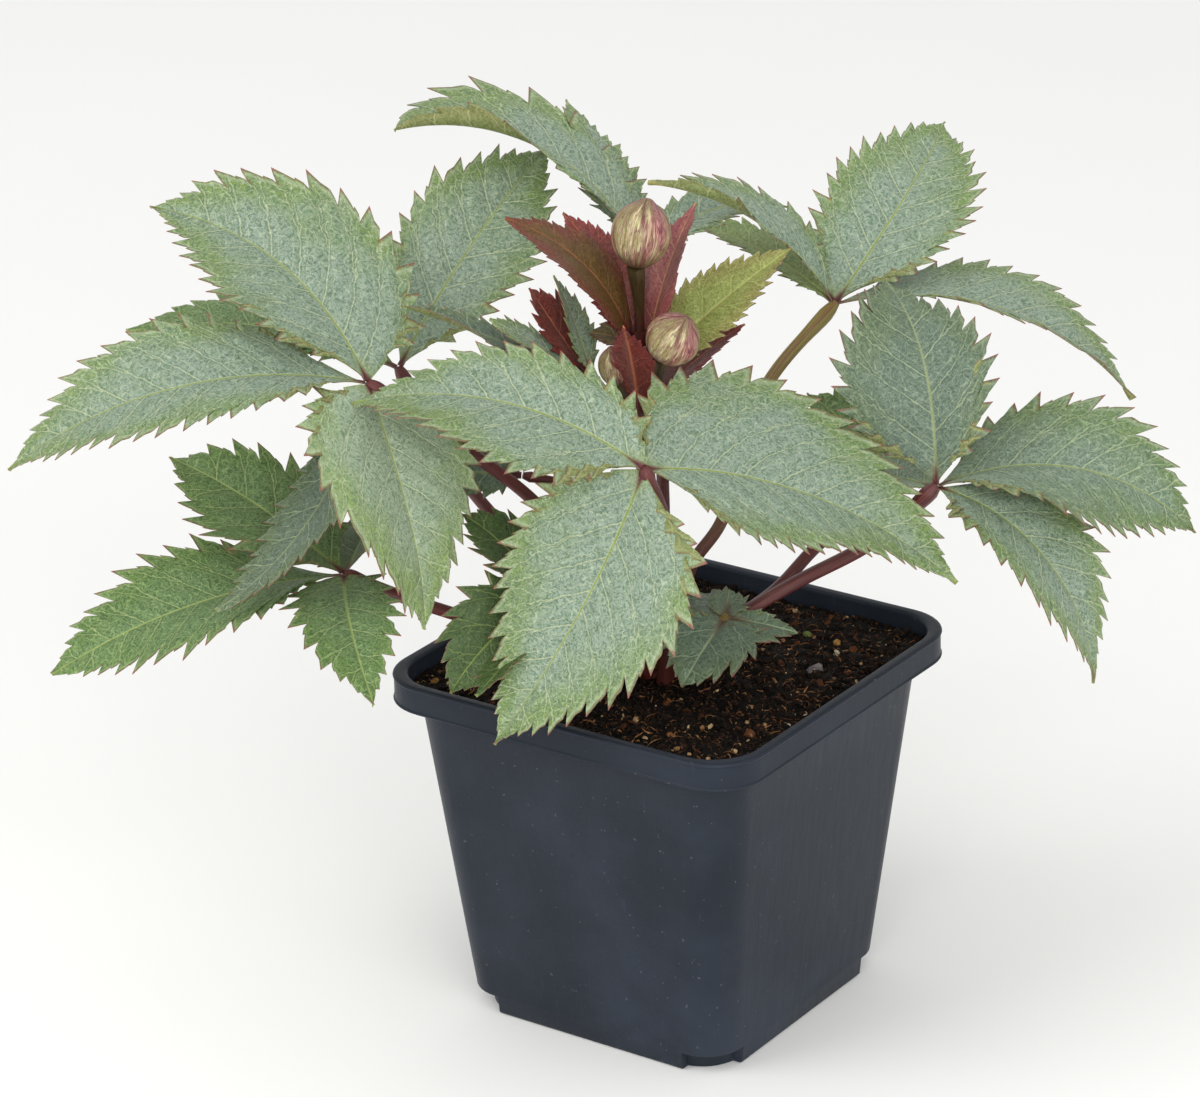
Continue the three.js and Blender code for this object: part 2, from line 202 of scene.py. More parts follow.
def join(pieces: Sequence[Piece], name: str) -> Piece:
    """Joins pieces into the first one.

    Args:
        pieces: Two or more objects.
        name: The name of the result.

    Returns:
        The joined object.
    """
    first = pieces[0]
    only(first)
    for piece in pieces[1:]:
        piece.select_set(True)
    bpy.ops.object.join()
    first.name = first.data.name = name
    return first


def points_of(piece: Piece) -> Array:
    """Reads the vertices of a mesh.

    Args:
        piece: The object.

    Returns:
        Its vertices, one in each row.
    """
    found = np.empty(3 * len(piece.data.vertices), np.float32)
    piece.data.vertices.foreach_get("co", found)
    return found.reshape(-1, 3)


def move_points(piece: Piece, points: Array) -> None:
    """Puts every vertex of a mesh where the rows of points say."""
    piece.data.vertices.foreach_set("co", np.ascontiguousarray(points, np.float32).ravel())
    piece.data.update()


def tag(piece: Piece, name: str, values: Array) -> None:
    """Stores a number or a vector for each vertex, which a finish reads by its name.

    Args:
        piece: The object.
        name: The attribute's name.
        values: One number or one row for each vertex.
    """
    kind, part = ("FLOAT", "value") if values.ndim == 1 else ("FLOAT_VECTOR", "vector")
    held = piece.data.attributes.new(name, kind, "POINT")
    held.data.foreach_set(part, values.astype(np.float32).ravel())


def face_outwards(piece: Piece) -> None:
    """Recalculates a closed mesh's normals so that they point outwards."""
    with editing(piece):
        bpy.ops.mesh.normals_make_consistent(inside=False)


def smooth(piece: Piece, degrees: float = 180.0) -> None:
    """Shades a mesh smooth, apart from edges sharper than degrees."""
    only(piece)
    bpy.ops.object.shade_smooth_by_angle(angle=math.radians(degrees))


def seat(piece: Piece, slot: str, *nodes: str) -> None:
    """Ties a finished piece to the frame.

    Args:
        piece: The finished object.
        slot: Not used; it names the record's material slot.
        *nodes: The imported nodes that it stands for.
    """
    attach(piece, "root")
    if nodes:
        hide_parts(*nodes)
    log.info("%s: %d faces", piece.name, len(piece.data.polygons))


def catmull_rom(route: Route, count: int) -> Array:
    """A centripetal Catmull-Rom curve through a route.

    Args:
        route: Points in millimetres.
        count: How many points to return.

    Returns:
        Points along the curve in millimetres, one in each row.
    """
    p = np.array(route, float)
    p = np.vstack([2 * p[0] - p[1], p, 2 * p[-1] - p[-2]])
    spans = len(p) - 3
    found = []
    for at in np.linspace(0, spans, count):
        i = min(int(at), spans - 1)
        w = at - i
        a, b, c, d = p[i : i + 4]
        ka, kb, kc = (max(np.linalg.norm(n - m), 1e-6) ** 0.5 for m, n in ((a, b), (b, c), (c, d)))
        leave = kb * ((b - a) / ka - (c - a) / (ka + kb) + (c - b) / kb)
        arrive = kb * ((c - b) / kb - (d - b) / (kb + kc) + (d - c) / kc)
        found.append(
            b + leave * w
            + (-3 * b + 3 * c - 2 * leave - arrive) * w**2
            + (2 * b - 2 * c + leave + arrive) * w**3
        )
    return np.array(found)


# ---------------------------------------------------------------- shader mixing


class Level:
    """A number inside a material, which takes part in Python arithmetic."""

    def __init__(self, mixer: "Mixer", socket: Socket) -> None:
        """Wraps the socket that carries the number."""
        self.mixer, self.socket = mixer, socket

    def maths(self, operation: str, *others: "Level | float") -> "Level":
        """The result of a Math node that starts from this number."""
        return self.mixer.maths(operation, self, *others)

    def __add__(self, other: "Level | float") -> "Level":
        """Sum."""
        return self.maths("ADD", other)

    def __mul__(self, other: "Level | float") -> "Level":
        """Product."""
        return self.maths("MULTIPLY", other)

    __radd__, __rmul__ = __add__, __mul__

    def __sub__(self, other: "Level | float") -> "Level":
        """Difference."""
        return self.maths("SUBTRACT", other)

    def __rsub__(self, other: float) -> "Level":
        """A plain number less this one."""
        return self.mixer.maths("SUBTRACT", other, self)

    def __truediv__(self, other: "Level | float") -> "Level":
        """Quotient."""
        return self.maths("DIVIDE", other)

    def __pow__(self, other: "Level | float") -> "Level":
        """Power."""
        return self.maths("POWER", other)

    def __abs__(self) -> "Level":
        """Size without sign."""
        return self.maths("ABSOLUTE")

    def fraction(self) -> "Level":
        """What is left after whole numbers are taken off."""
        return self.maths("FRACT")

    def larger(self, other: "Level | float") -> "Level":
        """The larger of the two."""
        return self.maths("MAXIMUM", other)

    def rise(self, low: float, high: float) -> "Level":
        """Goes smoothly from 0 at low to 1 at high."""
        inputs = {"Value": self, "From Min": low, "From Max": high}
        return self.mixer.level("ShaderNodeMapRange", {"interpolation_type": "SMOOTHSTEP"}, inputs)

    def fall(self, low: float, high: float) -> "Level":
        """Goes smoothly from 1 at low to 0 at high."""
        return 1 - self.rise(low, high)

    def near(self, value: float, close: float, far: float) -> "Level":
        """A soft line: 1 within close of a value, and 0 beyond far of it."""
        return abs(self - value).fall(close, far)

    def swing(self, amount: float) -> "Level":
        """Noise around 0.5, turned into a change around 0."""
        return (self - 0.5) * amount


Value = Level | Socket | float | Colour | Point
Settings = dict[str, object]
Inputs = dict[str | int, Value]


class Mixer:
    """A material in the making: one principled shader, and the colours laid on so far."""

    def __init__(self, name: str, ground: str) -> None:
        """Starts a material with its shader, its output and its ground colour.

        Args:
            name: The material's name.
            ground: The colour under all others, as in ink.
        """
        self.material = bpy.data.materials.new(name)
        self.material.use_nodes = True
        self.tree = self.material.node_tree
        self.tree.nodes.clear()
        self.shader = self.node("ShaderNodeBsdfPrincipled")
        self.node("ShaderNodeOutputMaterial", {}, {"Surface": self.shader.outputs["BSDF"]})
        self.colour: Value = ink(ground)

    def node(
        self, kind: str, settings: Settings | None = None, inputs: Inputs | None = None
    ) -> bpy.types.Node:
        """Adds any node.

        Args:
            kind: The node's type.
            settings: Its properties, set before its sockets.
            inputs: A number, colour, Level or socket for each input, by name or index.

        Returns:
            The node.
        """
        made = self.tree.nodes.new(kind)
        for key, value in (settings or {}).items():
            setattr(made, key, value)
        for key, value in (inputs or {}).items():
            self.feed(made.inputs[key], value)
        return made

    def feed(self, socket: Socket, value: Value) -> None:
        """Links or sets one input socket.

        Args:
            socket: The input.
            value: What goes in.
        """
        if isinstance(value, Level):
            value = value.socket
        if isinstance(value, Socket):
            self.tree.links.new(value, socket)
        else:
            socket.default_value = value

    def level(
        self, kind: str, settings: Settings, inputs: Inputs, output: str | int = 0
    ) -> Level:
        """Adds a node and wraps one of its outputs as a number."""
        return Level(self, self.node(kind, settings, inputs).outputs[output])

    def maths(self, operation: str, *values: Level | float) -> Level:
        """The result of a Math node."""
        return self.level("ShaderNodeMath", {"operation": operation}, dict(enumerate(values)))

    def split(self, vector: Socket) -> tuple[Level, ...]:
        """The three components of a vector."""
        parts = self.node("ShaderNodeSeparateXYZ", {}, {0: vector}).outputs
        return tuple(Level(self, part) for part in parts)

    def vector(self, x: Value, y: Value, z: Value) -> Socket:
        """A vector from three components."""
        return self.node("ShaderNodeCombineXYZ", {}, {0: x, 1: y, 2: z}).outputs[0]

    def moved(self, place: Value, push: Value) -> Socket:
        """The sum of two vectors."""
        made = self.node("ShaderNodeVectorMath", {"operation": "ADD"}, {0: place, 1: push})
        return made.outputs[0]

    def scaled(self, place: Value, factor: float) -> Socket:
        """A vector times a number."""
        settings = {"operation": "SCALE"}
        return self.node("ShaderNodeVectorMath", settings, {0: place, "Scale": factor}).outputs[0]

    def paint(self, factor: Value, code: str) -> None:
        """Lays a colour over the others, from not at all at 0 to fully at 1.

        Args:
            factor: How much of it shows.
            code: The colour, as in ink.
        """
        settings = {"data_type": "RGBA", "clamp_factor": True}
        inputs = {0: factor, 6: self.colour, 7: ink(code)}
        self.colour = self.node("ShaderNodeMix", settings, inputs).outputs[2]

    def clouds(self, place: Value, scale: float, detail: float = 3.0) -> Level:
        """Soft noise around 0.5."""
        inputs = {"Vector": place, "Scale": scale, "Detail": detail, "Roughness": 0.55}
        return self.level("ShaderNodeTexNoise", {}, inputs, "Fac")

    def cells(self, place: Value, scale: float) -> Level:
        """A mesh of irregular cells.

        Args:
            place: Where it is read.
            scale: How many cells there are to a unit.

        Returns:
            Distance from the edges between the cells.
        """
        settings = {"voronoi_dimensions": "2D", "feature": "DISTANCE_TO_EDGE"}
        inputs = {"Vector": place, "Scale": scale}
        return self.level("ShaderNodeTexVoronoi", settings, inputs, "Distance")

    def here(self) -> Socket:
        """The place on the object, in metres."""
        return self.node("ShaderNodeTexCoord").outputs["Object"]

    def unwrapped(self) -> tuple[Level, Level]:
        """The two coordinates of the piece's own UV map."""
        return self.split(self.node("ShaderNodeUVMap", {"uv_map": "UVMap"}).outputs[0])[:2]

    def ring(self, u: Level) -> tuple[Level, Level]:
        """A place round a stalk or bud, as two waves, so that a pattern on it has no seam."""
        return (u * TURN).maths("SINE"), (u * TURN).maths("COSINE")

    def strip(self, ring: tuple[Level, Level], v: Level, wide: float, long: float) -> Socket:
        """A place for streaks: the larger wide is against long, the thinner they are."""
        return self.vector(ring[0] * wide, ring[1] * wide, v * long)

    def attribute(self, name: str, output: str = "Vector") -> Socket:
        """A value that the mesh carries under a name."""
        return self.node("ShaderNodeAttribute", {"attribute_name": name}).outputs[output]

    def number(self, name: str) -> Level:
        """A number that the mesh carries under a name."""
        return Level(self, self.attribute(name, "Fac"))

    def finish(
        self, roughness: Value, height: Value | None = None, depth: float = 0.0,
        gloss: float = 0.5,
    ) -> Material:
        """Feeds the shader.

        Args:
            roughness: The roughness.
            height: The relief, about 0 to 1, or None for a plain surface.
            depth: The relief's depth in metres.
            gloss: The shader's specular level.

        Returns:
            The finished material.
        """
        self.feed(self.shader.inputs["Base Color"], self.colour)
        self.feed(self.shader.inputs["Roughness"], roughness)
        self.feed(self.shader.inputs["Specular IOR Level"], gloss)
        if height is not None:
            bump = self.node("ShaderNodeBump", {}, {"Height": height, "Distance": depth})
            self.feed(self.shader.inputs["Normal"], bump.outputs[0])
        return self.material


# ---------------------------------------------------------------- finishes


@dataclass(frozen=True)
class Finish:
    """A surface with a name. Each kind of finish says how it is mixed."""

    name: str

    def mix(self) -> Material:
        """Mixes the material."""
        raise NotImplementedError


@cache
def material_of(finish: Finish) -> Material:
    """The material of a finish, mixed only once."""
    return finish.mix()


def dress(piece: Piece, *finishes: Finish) -> None:
    """Gives a mesh its finishes.

    Args:
        piece: The object.
        *finishes: The finishes, the first one for slot 0.
    """
    piece.data.materials.clear()
    for finish in finishes:
        piece.data.materials.append(material_of(finish))


@dataclass(frozen=True)
class BladeFinish(Finish):
    """The skin of a leaf or bract, drawn on its own lengths and veins.

    The mesh carries UVMap, across and along from 0 to 1, "lay", whose x and y are the place on
    the flat blade in centimetres and whose z is 1 at the tip of a tooth, and "tone", a number
    from 0 to 1 that sets one blade apart from the next.
    """

    centre: str  # ground colour near the midrib
    margin: str  # ground colour near the margin
    net: str  # the fine network of veins
    vein: str  # the side veins
    fleck_and_vein_shadow: str  # small dark marks between them, and the painted shadow along each side vein
    midrib: str
    foot: str  # a patch where the blade leaves its stalk
    edge: str = "7c5644"  # the thin line round the blade
    spine: str = "94524c"  # the tips of the teeth
    root: str = "5a1f26"  # the very base
    spacing: float = 1.12  # centimetres between side veins
    net_strength: float = 0.6
    vein_strength: float = 0.66
    edge_strength: float = 0.8
    roughness: float = 0.5
    relief: float = 0.0002

    def mix(self) -> Material:
        """Mixes the material.

        Returns:
            The material.
        """
        m = Mixer(self.name, self.centre)
        u, v = m.unwrapped()
        side = abs(u - 0.5) * 2
        x, y, tooth = m.split(m.attribute("lay"))
        tone = m.number("tone")
        off = abs(x)
        flat = m.vector(x + tone * 31, y, tone * 9)
        wobble = m.node("ShaderNodeTexNoise", {}, {"Vector": flat, "Scale": 2.6, "Detail": 3.0})
        wobble = wobble.outputs["Color"]
        warped = m.moved(flat, m.scaled(m.moved(wobble, (-0.5, -0.5, -0.5)), 0.5))
        curl = m.clouds(warped, 6.2, 2.0)
        mottle = m.clouds(warped, 11.5, 4.0)
        broad = m.clouds(flat, 0.6)
        patch = m.clouds(flat, 1.9)

        # The ground, greener towards the margin and the tip, with dark flecks
        green = side**1.8 + v**3 * 0.7 + broad.swing(1.5)
        m.paint(green.rise(0.14, 1.05), self.margin)
        m.paint(mottle.rise(0.45, 0.62) * (0.38 + patch * 0.76), self.fleck_and_vein_shadow)

        # The fine network: wide and narrow meshes, hairs and wisps
        meshes = (m.cells(warped, 3.4).fall(0.01, 0.09) * 0.9).larger(
            m.cells(warped, 8.2).fall(0.0, 0.13) * 0.35
        )
        wisp = m.clouds(warped, 11.0, 1.0).near(0.48, 0.006, 0.04)
        threads = meshes.larger(curl.near(0.5, 0.006, 0.03) * 0.7).larger(wisp * 0.4)
        pale = threads * (1.25 - mottle.rise(0.42, 0.62) * 0.6)
        m.paint(pale * self.net_strength * (1.2 - patch * 0.7), self.net)

        # The side veins, one set for each half, each with a painted shadow along both sides and a
        # minor vein between
        climb = y - off * (0.75 + off * 0.12) + m.split(wobble)[0].swing(1.0) * off * 0.32
        climb = climb + curl.swing(0.10)
        turn = (climb / self.spacing + u.maths("GREATER_THAN", 0.5) * 0.5).fraction()
        fork = (side - 0.42 + broad.swing(0.5)).larger(0.0) * 0.4
        line = abs(abs(turn - 0.5) - fork)
        # Painted shadow: a dark band in the fleck colour along both sides of each side vein
        m.paint(line.near(0.06, 0.0, 0.035) * 0.45 * self.vein_strength, self.fleck_and_vein_shadow)
        ribs = line.fall(0.008, 0.034) * (1.15 - side * 0.55)
        minor = (turn * 2).fraction().near(0.5, 0.01, 0.045) * side.fall(0.3, 0.85) * 0.5
        m.paint(ribs.larger(minor) * self.vein_strength, self.vein)

        # The midrib, narrower towards the tip, and the base
        width = off / (0.05 - v * 0.032)
        m.paint(width.fall(0.9, 1.6) * 0.55, self.net)
        midrib = width.fall(0.5, 0.95)
        m.paint(midrib * 0.9, self.midrib)
        m.paint((y + off * 1.6 + curl.swing(0.5)).fall(0.2, 1.5) * 0.55, self.foot)
        m.paint((y + off * 4).fall(0.3, 1.05), self.root)

        # The margin: a pale line, then the edge and the tips of the teeth
        m.paint((side.rise(0.90, 0.955) - side.rise(0.955, 0.985)) * 0.4, self.net)
        rim = side.rise(0.968, 0.998) * (0.5 + broad * 0.7)
        m.paint(rim * self.edge_strength, self.edge)
        m.paint(tooth.rise(0.45, 0.95) * self.edge_strength, self.spine)

        height = 0.5 + threads * 0.6 - ribs * 0.6 + mottle * 0.4 - midrib * 0.4
        return m.finish(self.roughness + mottle.swing(0.3), height, self.relief)


@dataclass(frozen=True)
class StalkFinish(Finish):
    """Ribbed stalk skin, streaked along its length."""

    skin: str
    streak: str
    bloom: str  # the lighter colour along the ribs
    low: str  # the colour at the foot
    roughness: float = 0.42
    reach: float = 0.22  # how far up the stalk the foot's colour goes
    relief: float = 0.00022

    def mix(self) -> Material:
        """Mixes the material.

        Returns:
            The material.
        """
        m = Mixer(self.name, self.skin)
        u, v = m.unwrapped()
        ring = m.ring(u)
        streaks = m.clouds(m.strip(ring, v, 6, 5), 0.9, 4.0)
        thin = m.clouds(m.strip(ring, v, 14, 7), 1.0)
        m.paint(streaks.rise(0.36, 0.66), self.streak)
        m.paint(thin.rise(0.52, 0.74) * 0.6, self.bloom)
        m.paint((v + streaks.swing(0.25)).fall(self.reach / 2, self.reach) * 0.85, self.low)
        m.paint(m.clouds(m.here(), 260.0).rise(0.62, 0.78) * 0.5, self.streak)
        height = streaks * 0.5 + thin * 0.7
        return m.finish(self.roughness + thin.swing(0.3), height, self.relief)


@dataclass(frozen=True)
class BudFinish(Finish):
    """Closed sepals: cream green, flushed and streaked with rose along the meridians."""

    name: str = "bud_sepal"
    cream: str = "d3c79a"
    green: str = "9c9c5e"
    rose: str = "6e2433"
    flush: str = "c48682"
    brown: str = "4a2b1a"
    roughness: float = 0.38
    relief: float = 0.00026

    def mix(self) -> Material:
        """Mixes the material.

        Returns:
            The material.
        """
        m = Mixer(self.name, self.cream)
        u, v = m.unwrapped()
        ring = m.ring(u)
        side = m.clouds(m.strip(ring, v, 1.1, 1.3), 1.2, 2.0)
        long = m.clouds(m.strip(ring, v, 3, 1.4), 1.3, 4.0)
        thin = m.clouds(m.strip(ring, v, 11, 3.4), 1.0, 4.0)
        line = m.clouds(m.strip(ring, v, 24, 5.0), 1.0).near(0.5, 0.015, 0.07)
        m.paint(long.rise(0.36, 0.6), self.green)
        blush = v * 0.75 + side.swing(2.4) + thin.swing(0.7)
        m.paint(blush.rise(0.3, 0.85) * 0.85, self.flush)
        seam = abs((u * 5 + v * 0.55).fraction() - 0.5).rise(0.38, 0.5)
        m.paint(seam * (0.25 + thin * 0.9), self.rose)
        m.paint(thin.near(0.5, 0.012, 0.055) * (0.4 + side * 0.8), self.rose)
        m.paint(line * 0.4, self.rose)
        m.paint(thin.rise(0.54, 0.66) * 0.6, self.rose)
        rays = abs((u * 10).fraction() - 0.5).rise(0.3, 0.5) * v.rise(0.78, 0.93)
        m.paint(rays * 0.7, self.rose)
        m.paint((v + thin.swing(0.5)).fall(0.06, 0.44) * 0.85, self.brown)
        m.paint(m.clouds(m.here(), 620.0, 4.0).rise(0.60, 0.72) * 0.5, self.brown)
        height = thin * 0.7 + long * 0.5 - line * 0.3
        return m.finish(self.roughness + thin.swing(0.2), height, self.relief)


@dataclass(frozen=True)
class PlasticFinish(Finish):
    """Matt charcoal moulded plastic with faint specks, scuffs and dust."""

    name: str = "pot_plastic"
    body: str = "212730"
    dust: str = "3d4452"
    speck: str = "6b7078"
    roughness: float = 0.42
    relief: float = 0.00012
    gloss: float = 0.15

    def mix(self) -> Material:
        """Mixes the material.

        Returns:
            The material.
        """
        m = Mixer(self.name, self.body)
        place = m.here()
        x, y, z = m.split(place)
        cloud = m.clouds(place, 26.0, 4.0)
        grain = m.clouds(place, 1500.0, 2.0)
        scuff = m.clouds(m.vector(x * 3, y * 3, z * 0.35), 160.0, 4.0)
        m.paint(cloud.rise(0.35, 0.75) * 0.30, self.dust)
        m.paint(scuff.rise(0.60, 0.78) * 0.22, self.dust)
        m.paint(z.fall(0.0, 0.035) * cloud.rise(0.45, 0.7) * 0.25, self.dust)
        m.paint(m.clouds(place, 620.0, 1.0).rise(0.735, 0.77) * 0.3, self.speck)
        rough = self.roughness + cloud.swing(0.22) + scuff.swing(0.2)
        height = grain * 0.5 + scuff * 0.35 + cloud * 0.4
        return m.finish(rough, height, self.relief, self.gloss)


@dataclass(frozen=True)
class EarthFinish(Finish):
    """Potting mix and the bits in it, told apart by the "tint" each bit carries."""

    dark: str
    light: str
    glint: str
    roughness: float = 0.85
    relief: float = 0.0005
    scale: float = 900.0
    gloss: float = 0.2

    def mix(self) -> Material:
        """Mixes the material.

        Returns:
            The material.
        """
        m = Mixer(self.name, self.dark)
        coarse = m.clouds(m.here(), self.scale * 0.3, 4.0)
        fine = m.clouds(m.here(), self.scale, 4.0)
        m.paint((m.number("tint") * 0.75 + coarse.swing(0.9)).rise(0.0, 1.0), self.light)
        m.paint(fine.rise(0.56, 0.72) * 0.6, self.glint)
        rough = self.roughness + fine.swing(0.3)
        return m.finish(rough, coarse + fine * 0.8, self.relief, self.gloss)


@dataclass(frozen=True)
class PaperFinish(Finish):
    """Seamless studio paper."""

    name: str = "floor_paper"
    plain: str = "f4f4f2"
    bright: str = "f7f7f6"

    def mix(self) -> Material:
        """Mixes the material.

        Returns:
            The material.
        """
        m = Mixer(self.name, self.plain)
        m.paint(m.clouds(m.here(), 6.0, 2.0), self.bright)
        return m.finish(0.9)


class Skin(Enum):
    """The finishes of blades. Most are a blade's own colour; three are leaf skins painted lighter
    or darker, as painted light and painted shade, for blades that lie in shade.
    """

    GREY = BladeFinish(
        "leaf_grey", "849888", "6f893c", "b4c0a2", "bcc79c", "4a674a", "88973f", "8a9a5c",
    )
    MID = BladeFinish(
        "leaf_mid", "748876", "647d3a", "a8b698", "b2c094", "44604a", "8b9850", "84945a",
    )
    # The grey skin painted lighter, as painted light, for a blade that lies in shade under the
    # front leaf
    PALE = BladeFinish(
        "leaf_pale", "9aad96", "8aa456", "c2cdae", "c8d2aa", "627f5c", "9ca85c", "8a9a5c",
    )
    # A bluer grey that these blades have, painted darker as painted shade for blades that hang in
    # shadow
    BLUE = BladeFinish(
        "leaf_shaded_blue", "617466", "5e7148", "94a388", "a6b48c", "405644", "8f9a66", "7c8258",
    )
    GREEN = BladeFinish(
        "leaf_green", "5f7d4e", "5d7c3a", "97ad74", "a3b476", "355227", "96a65a", "7c8c42",
        net_strength=0.65,
    )
    # The green skin painted darker, as painted shade, for blades that lie in shadow, such as those
    # behind the front leaf
    DARK = BladeFinish(
        "leaf_shaded_green", "3d5426", "40592a", "667b44", "7c8c50", "263e1a", "7f8e46", "687838",
        net_strength=0.55,
    )
    DULL = BladeFinish(
        "leaf_dull", "5c7262", "5e7350", "93a488", "9fae8c", "445848", "a0aa84", "6c6c54",
        root="5f4a3c", net_strength=0.65,
    )
    FRESH = BladeFinish(
        "leaf_fresh", "86995e", "7b914e", "adba82", "b9c48a", "5f7844", "98a45a", "8a9a5c",
    )
    UNDER = BladeFinish(
        "leaf_underside", "7d8d52", "7c7f4a", "a3ad7c", "b0b27c", "62692f", "a09a5c", "8a8a4a",
        net_strength=0.35, roughness=0.6,
    )
    RED = BladeFinish(
        "bract_red", "702c24", "7a2a2a", "9a5040", "a85c46", "441a16", "a8603c", "7a2a30",
        "5f1d28", "7a2838", net_strength=0.4, vein_strength=0.4, roughness=0.42,
    )
    ROSE = BladeFinish(
        "bract_rose", "9c5250", "8a4042", "c08478", "c48a6e", "6a2a2e", "b98c4c", "8c3a40",
        "6a2230", "8a3040", net_strength=0.45, roughness=0.42,
    )
    OLIVE_RED = BladeFinish(
        "bract_olive_red", "5e4518", "6e2628", "846634", "94683c", "46300f", "8a4a2c", "7a2a30",
        "66202c", "742434", net_strength=0.4, vein_strength=0.3, roughness=0.42,
    )
    OLIVE = BladeFinish(
        "bract_olive", "87964a", "867c44", "b6bc70", "a9b26a", "6c702c", "a9ad62", "7c7a3c",
        "6c3a48", "7a3a50", net_strength=0.5, roughness=0.45,
    )
    BROWN = BladeFinish(
        "bract_brown", "55501f", "5a3c24", "7a7238", "86783e", "38300f", "84703c", "5a3020",
        "5a2628", "64282c", net_strength=0.35, roughness=0.45,
    )
    SHEATH = BladeFinish(
        "sheath", "5d4a26", "6a2c28", "86743a", "86743a", "3c1e14", "7c6a36", "4c2018",
        "4a1a1a", "5c2420", "3c1712", net_strength=0.3, vein_strength=0.15,
    )

    def under(self) -> "Skin":
        """The finish of the blade's lower face.

        Returns:
            The finish.
        """
        if self is Skin.OLIVE:
            return Skin.BROWN
        return Skin.UNDER if self.value.name.startswith("leaf_") else self


class Stem(Enum):
    """The finishes of stalks."""

    MAROON = StalkFinish("stalk_maroon", "662a27", "471a1b", "96605a", "4f211b")
    OLIVE = StalkFinish("stalk_olive", "7f7a34", "6c3b2c", "b09a55", "5e2826", reach=0.72)
    SHOOT = StalkFinish("stalk_shoot", "5f2a22", "3d1d14", "8f5a4c", "4a2018")
    BUD = StalkFinish("stalk_bud", "3d3416", "2b1c0e", "6d5c30", "4a2418", reach=0.5)


# ---------------------------------------------------------------- blades


@dataclass(frozen=True)
class Blade:
    """One leaflet or bract, as a curved midrib with a half on each side.

    Sizes are millimetres along the surface. aim is heading and climb at the base; bend is how
    much the heading turns and the climb falls by the tip; bank rolls the blade about its midrib
    at base and tip; widest is where along the midrib it is widest.
    """

    length: float
    widths: Pair
    aim: Pair
    bend: Pair
    bank: Pair
    widest: float = 0.46
    skin: Skin = Skin.GREY
    teeth: int = 13
    depth: float = 5.0  # how deep the largest teeth are cut
    full: Pair = (0.3, 0.3)  # how broad the left and right halves start, 0 to 1
    roll: Pair = (0.0, 0.0)  # how far each half rolls up near the tip, in degrees
    fold: float = 10.0  # how far each half is raised from flat, in degrees
    sharp: float = 1.2  # how finely the blade is drawn out to its tip

    def frames(self, t: Array) -> tuple[Array, Array, Array]:
        """The blade's directions.

        Args:
            t: Places along the midrib from 0 to 1.

        Returns:
            Unit vectors along it, to its left and out of its face.
        """
        heading = self.aim[0] + self.bend[0] * t
        along = compass(heading, self.aim[1] - self.bend[1] * t)
        level = compass(heading + 90, 0 * t)
        roll = np.radians(self.bank[0] + (self.bank[1] - self.bank[0]) * t)[..., None]
        left = level * np.cos(roll) + np.cross(along, level) * np.sin(roll)
        return along, left, np.cross(along, left)

    def rib(self, foot: Array, t: Array, strides: int = 240) -> Array:
        """Walks along the midrib.

        Args:
            foot: Where it starts, in millimetres.
            t: Places along it from 0 to 1.
            strides: How many straight strides it is taken in.

        Returns:
            Points on it in millimetres, one in each row.
        """
        along, _, _ = self.frames((np.arange(strides) + 0.5) / strides)
        walked = np.vstack([np.zeros(3), np.cumsum(along, axis=0)]) * self.length / strides
        stops = np.linspace(0, 1, strides + 1)
        return foot + np.stack([np.interp(t, stops, walked[:, k]) for k in range(3)], axis=-1)

    def half(self, side: int, t: Array) -> Array:
        """The width of one half, without its teeth.

        Args:
            side: 0 for left and 1 for right.
            t: Places along the midrib from 0 to 1.

        Returns:
            Widths in millimetres.
        """
        t = np.clip(t, 0, 1)
        full, widest = self.full[side], self.widest
        # Below and above its widest place the outline follows curves that meet there
        ratio = (1 - widest) / widest
        low = 0.85 - 0.4 * full
        high = max(0.85 * ratio, self.sharp)
        rise = (t / widest) ** low * ((1 - t) / (1 - widest)) ** (low * ratio)
        fall = (t / widest) ** (high / ratio) * ((1 - t) / (1 - widest)) ** high
        neck = np.minimum(1, t / (0.28 - 0.2 * full)) ** (0.8 - 0.3 * full)
        return self.widths[side] * np.where(t < widest, rise, fall) * neck


class Tooth(Enum):
    """How far the rows of a tooth stand out, and how far each hooks forward, from 0 to 1."""

    NICKED = (-0.1, 0.25, 0.52, 0.36, 0.62, 1.16), (0.0, 0.0, 0.4, 0.0, 0.0, 1.0)
    PLAIN = (-0.1, 0.25, 0.52, 0.56, 0.62, 1.16), (0.0, 0.0, 0.0, 0.0, 0.0, 1.0)


Rim = tuple[Array, Array, Array]  # where each row ends, how far it stands out and hooks


@dataclass
class Flat:
    """A blade laid out flat, with one number for each vertex in every field."""

    u: Array  # place across, from 1 on the left to -1 on the right
    v: Array  # where its row leaves the midrib, from 0 to 1
    t: Array  # place along the blade, from 0 to 1
    reach: Array  # distance from the midrib along the surface, in millimetres
    tip: Array  # 1 at the tips of the teeth

    def edge(self) -> Array:
        """Rises from 0 inside the blade to 1 at its rim."""
        return smoothstep(0.66, 1.0, np.abs(self.u)) ** 1.2


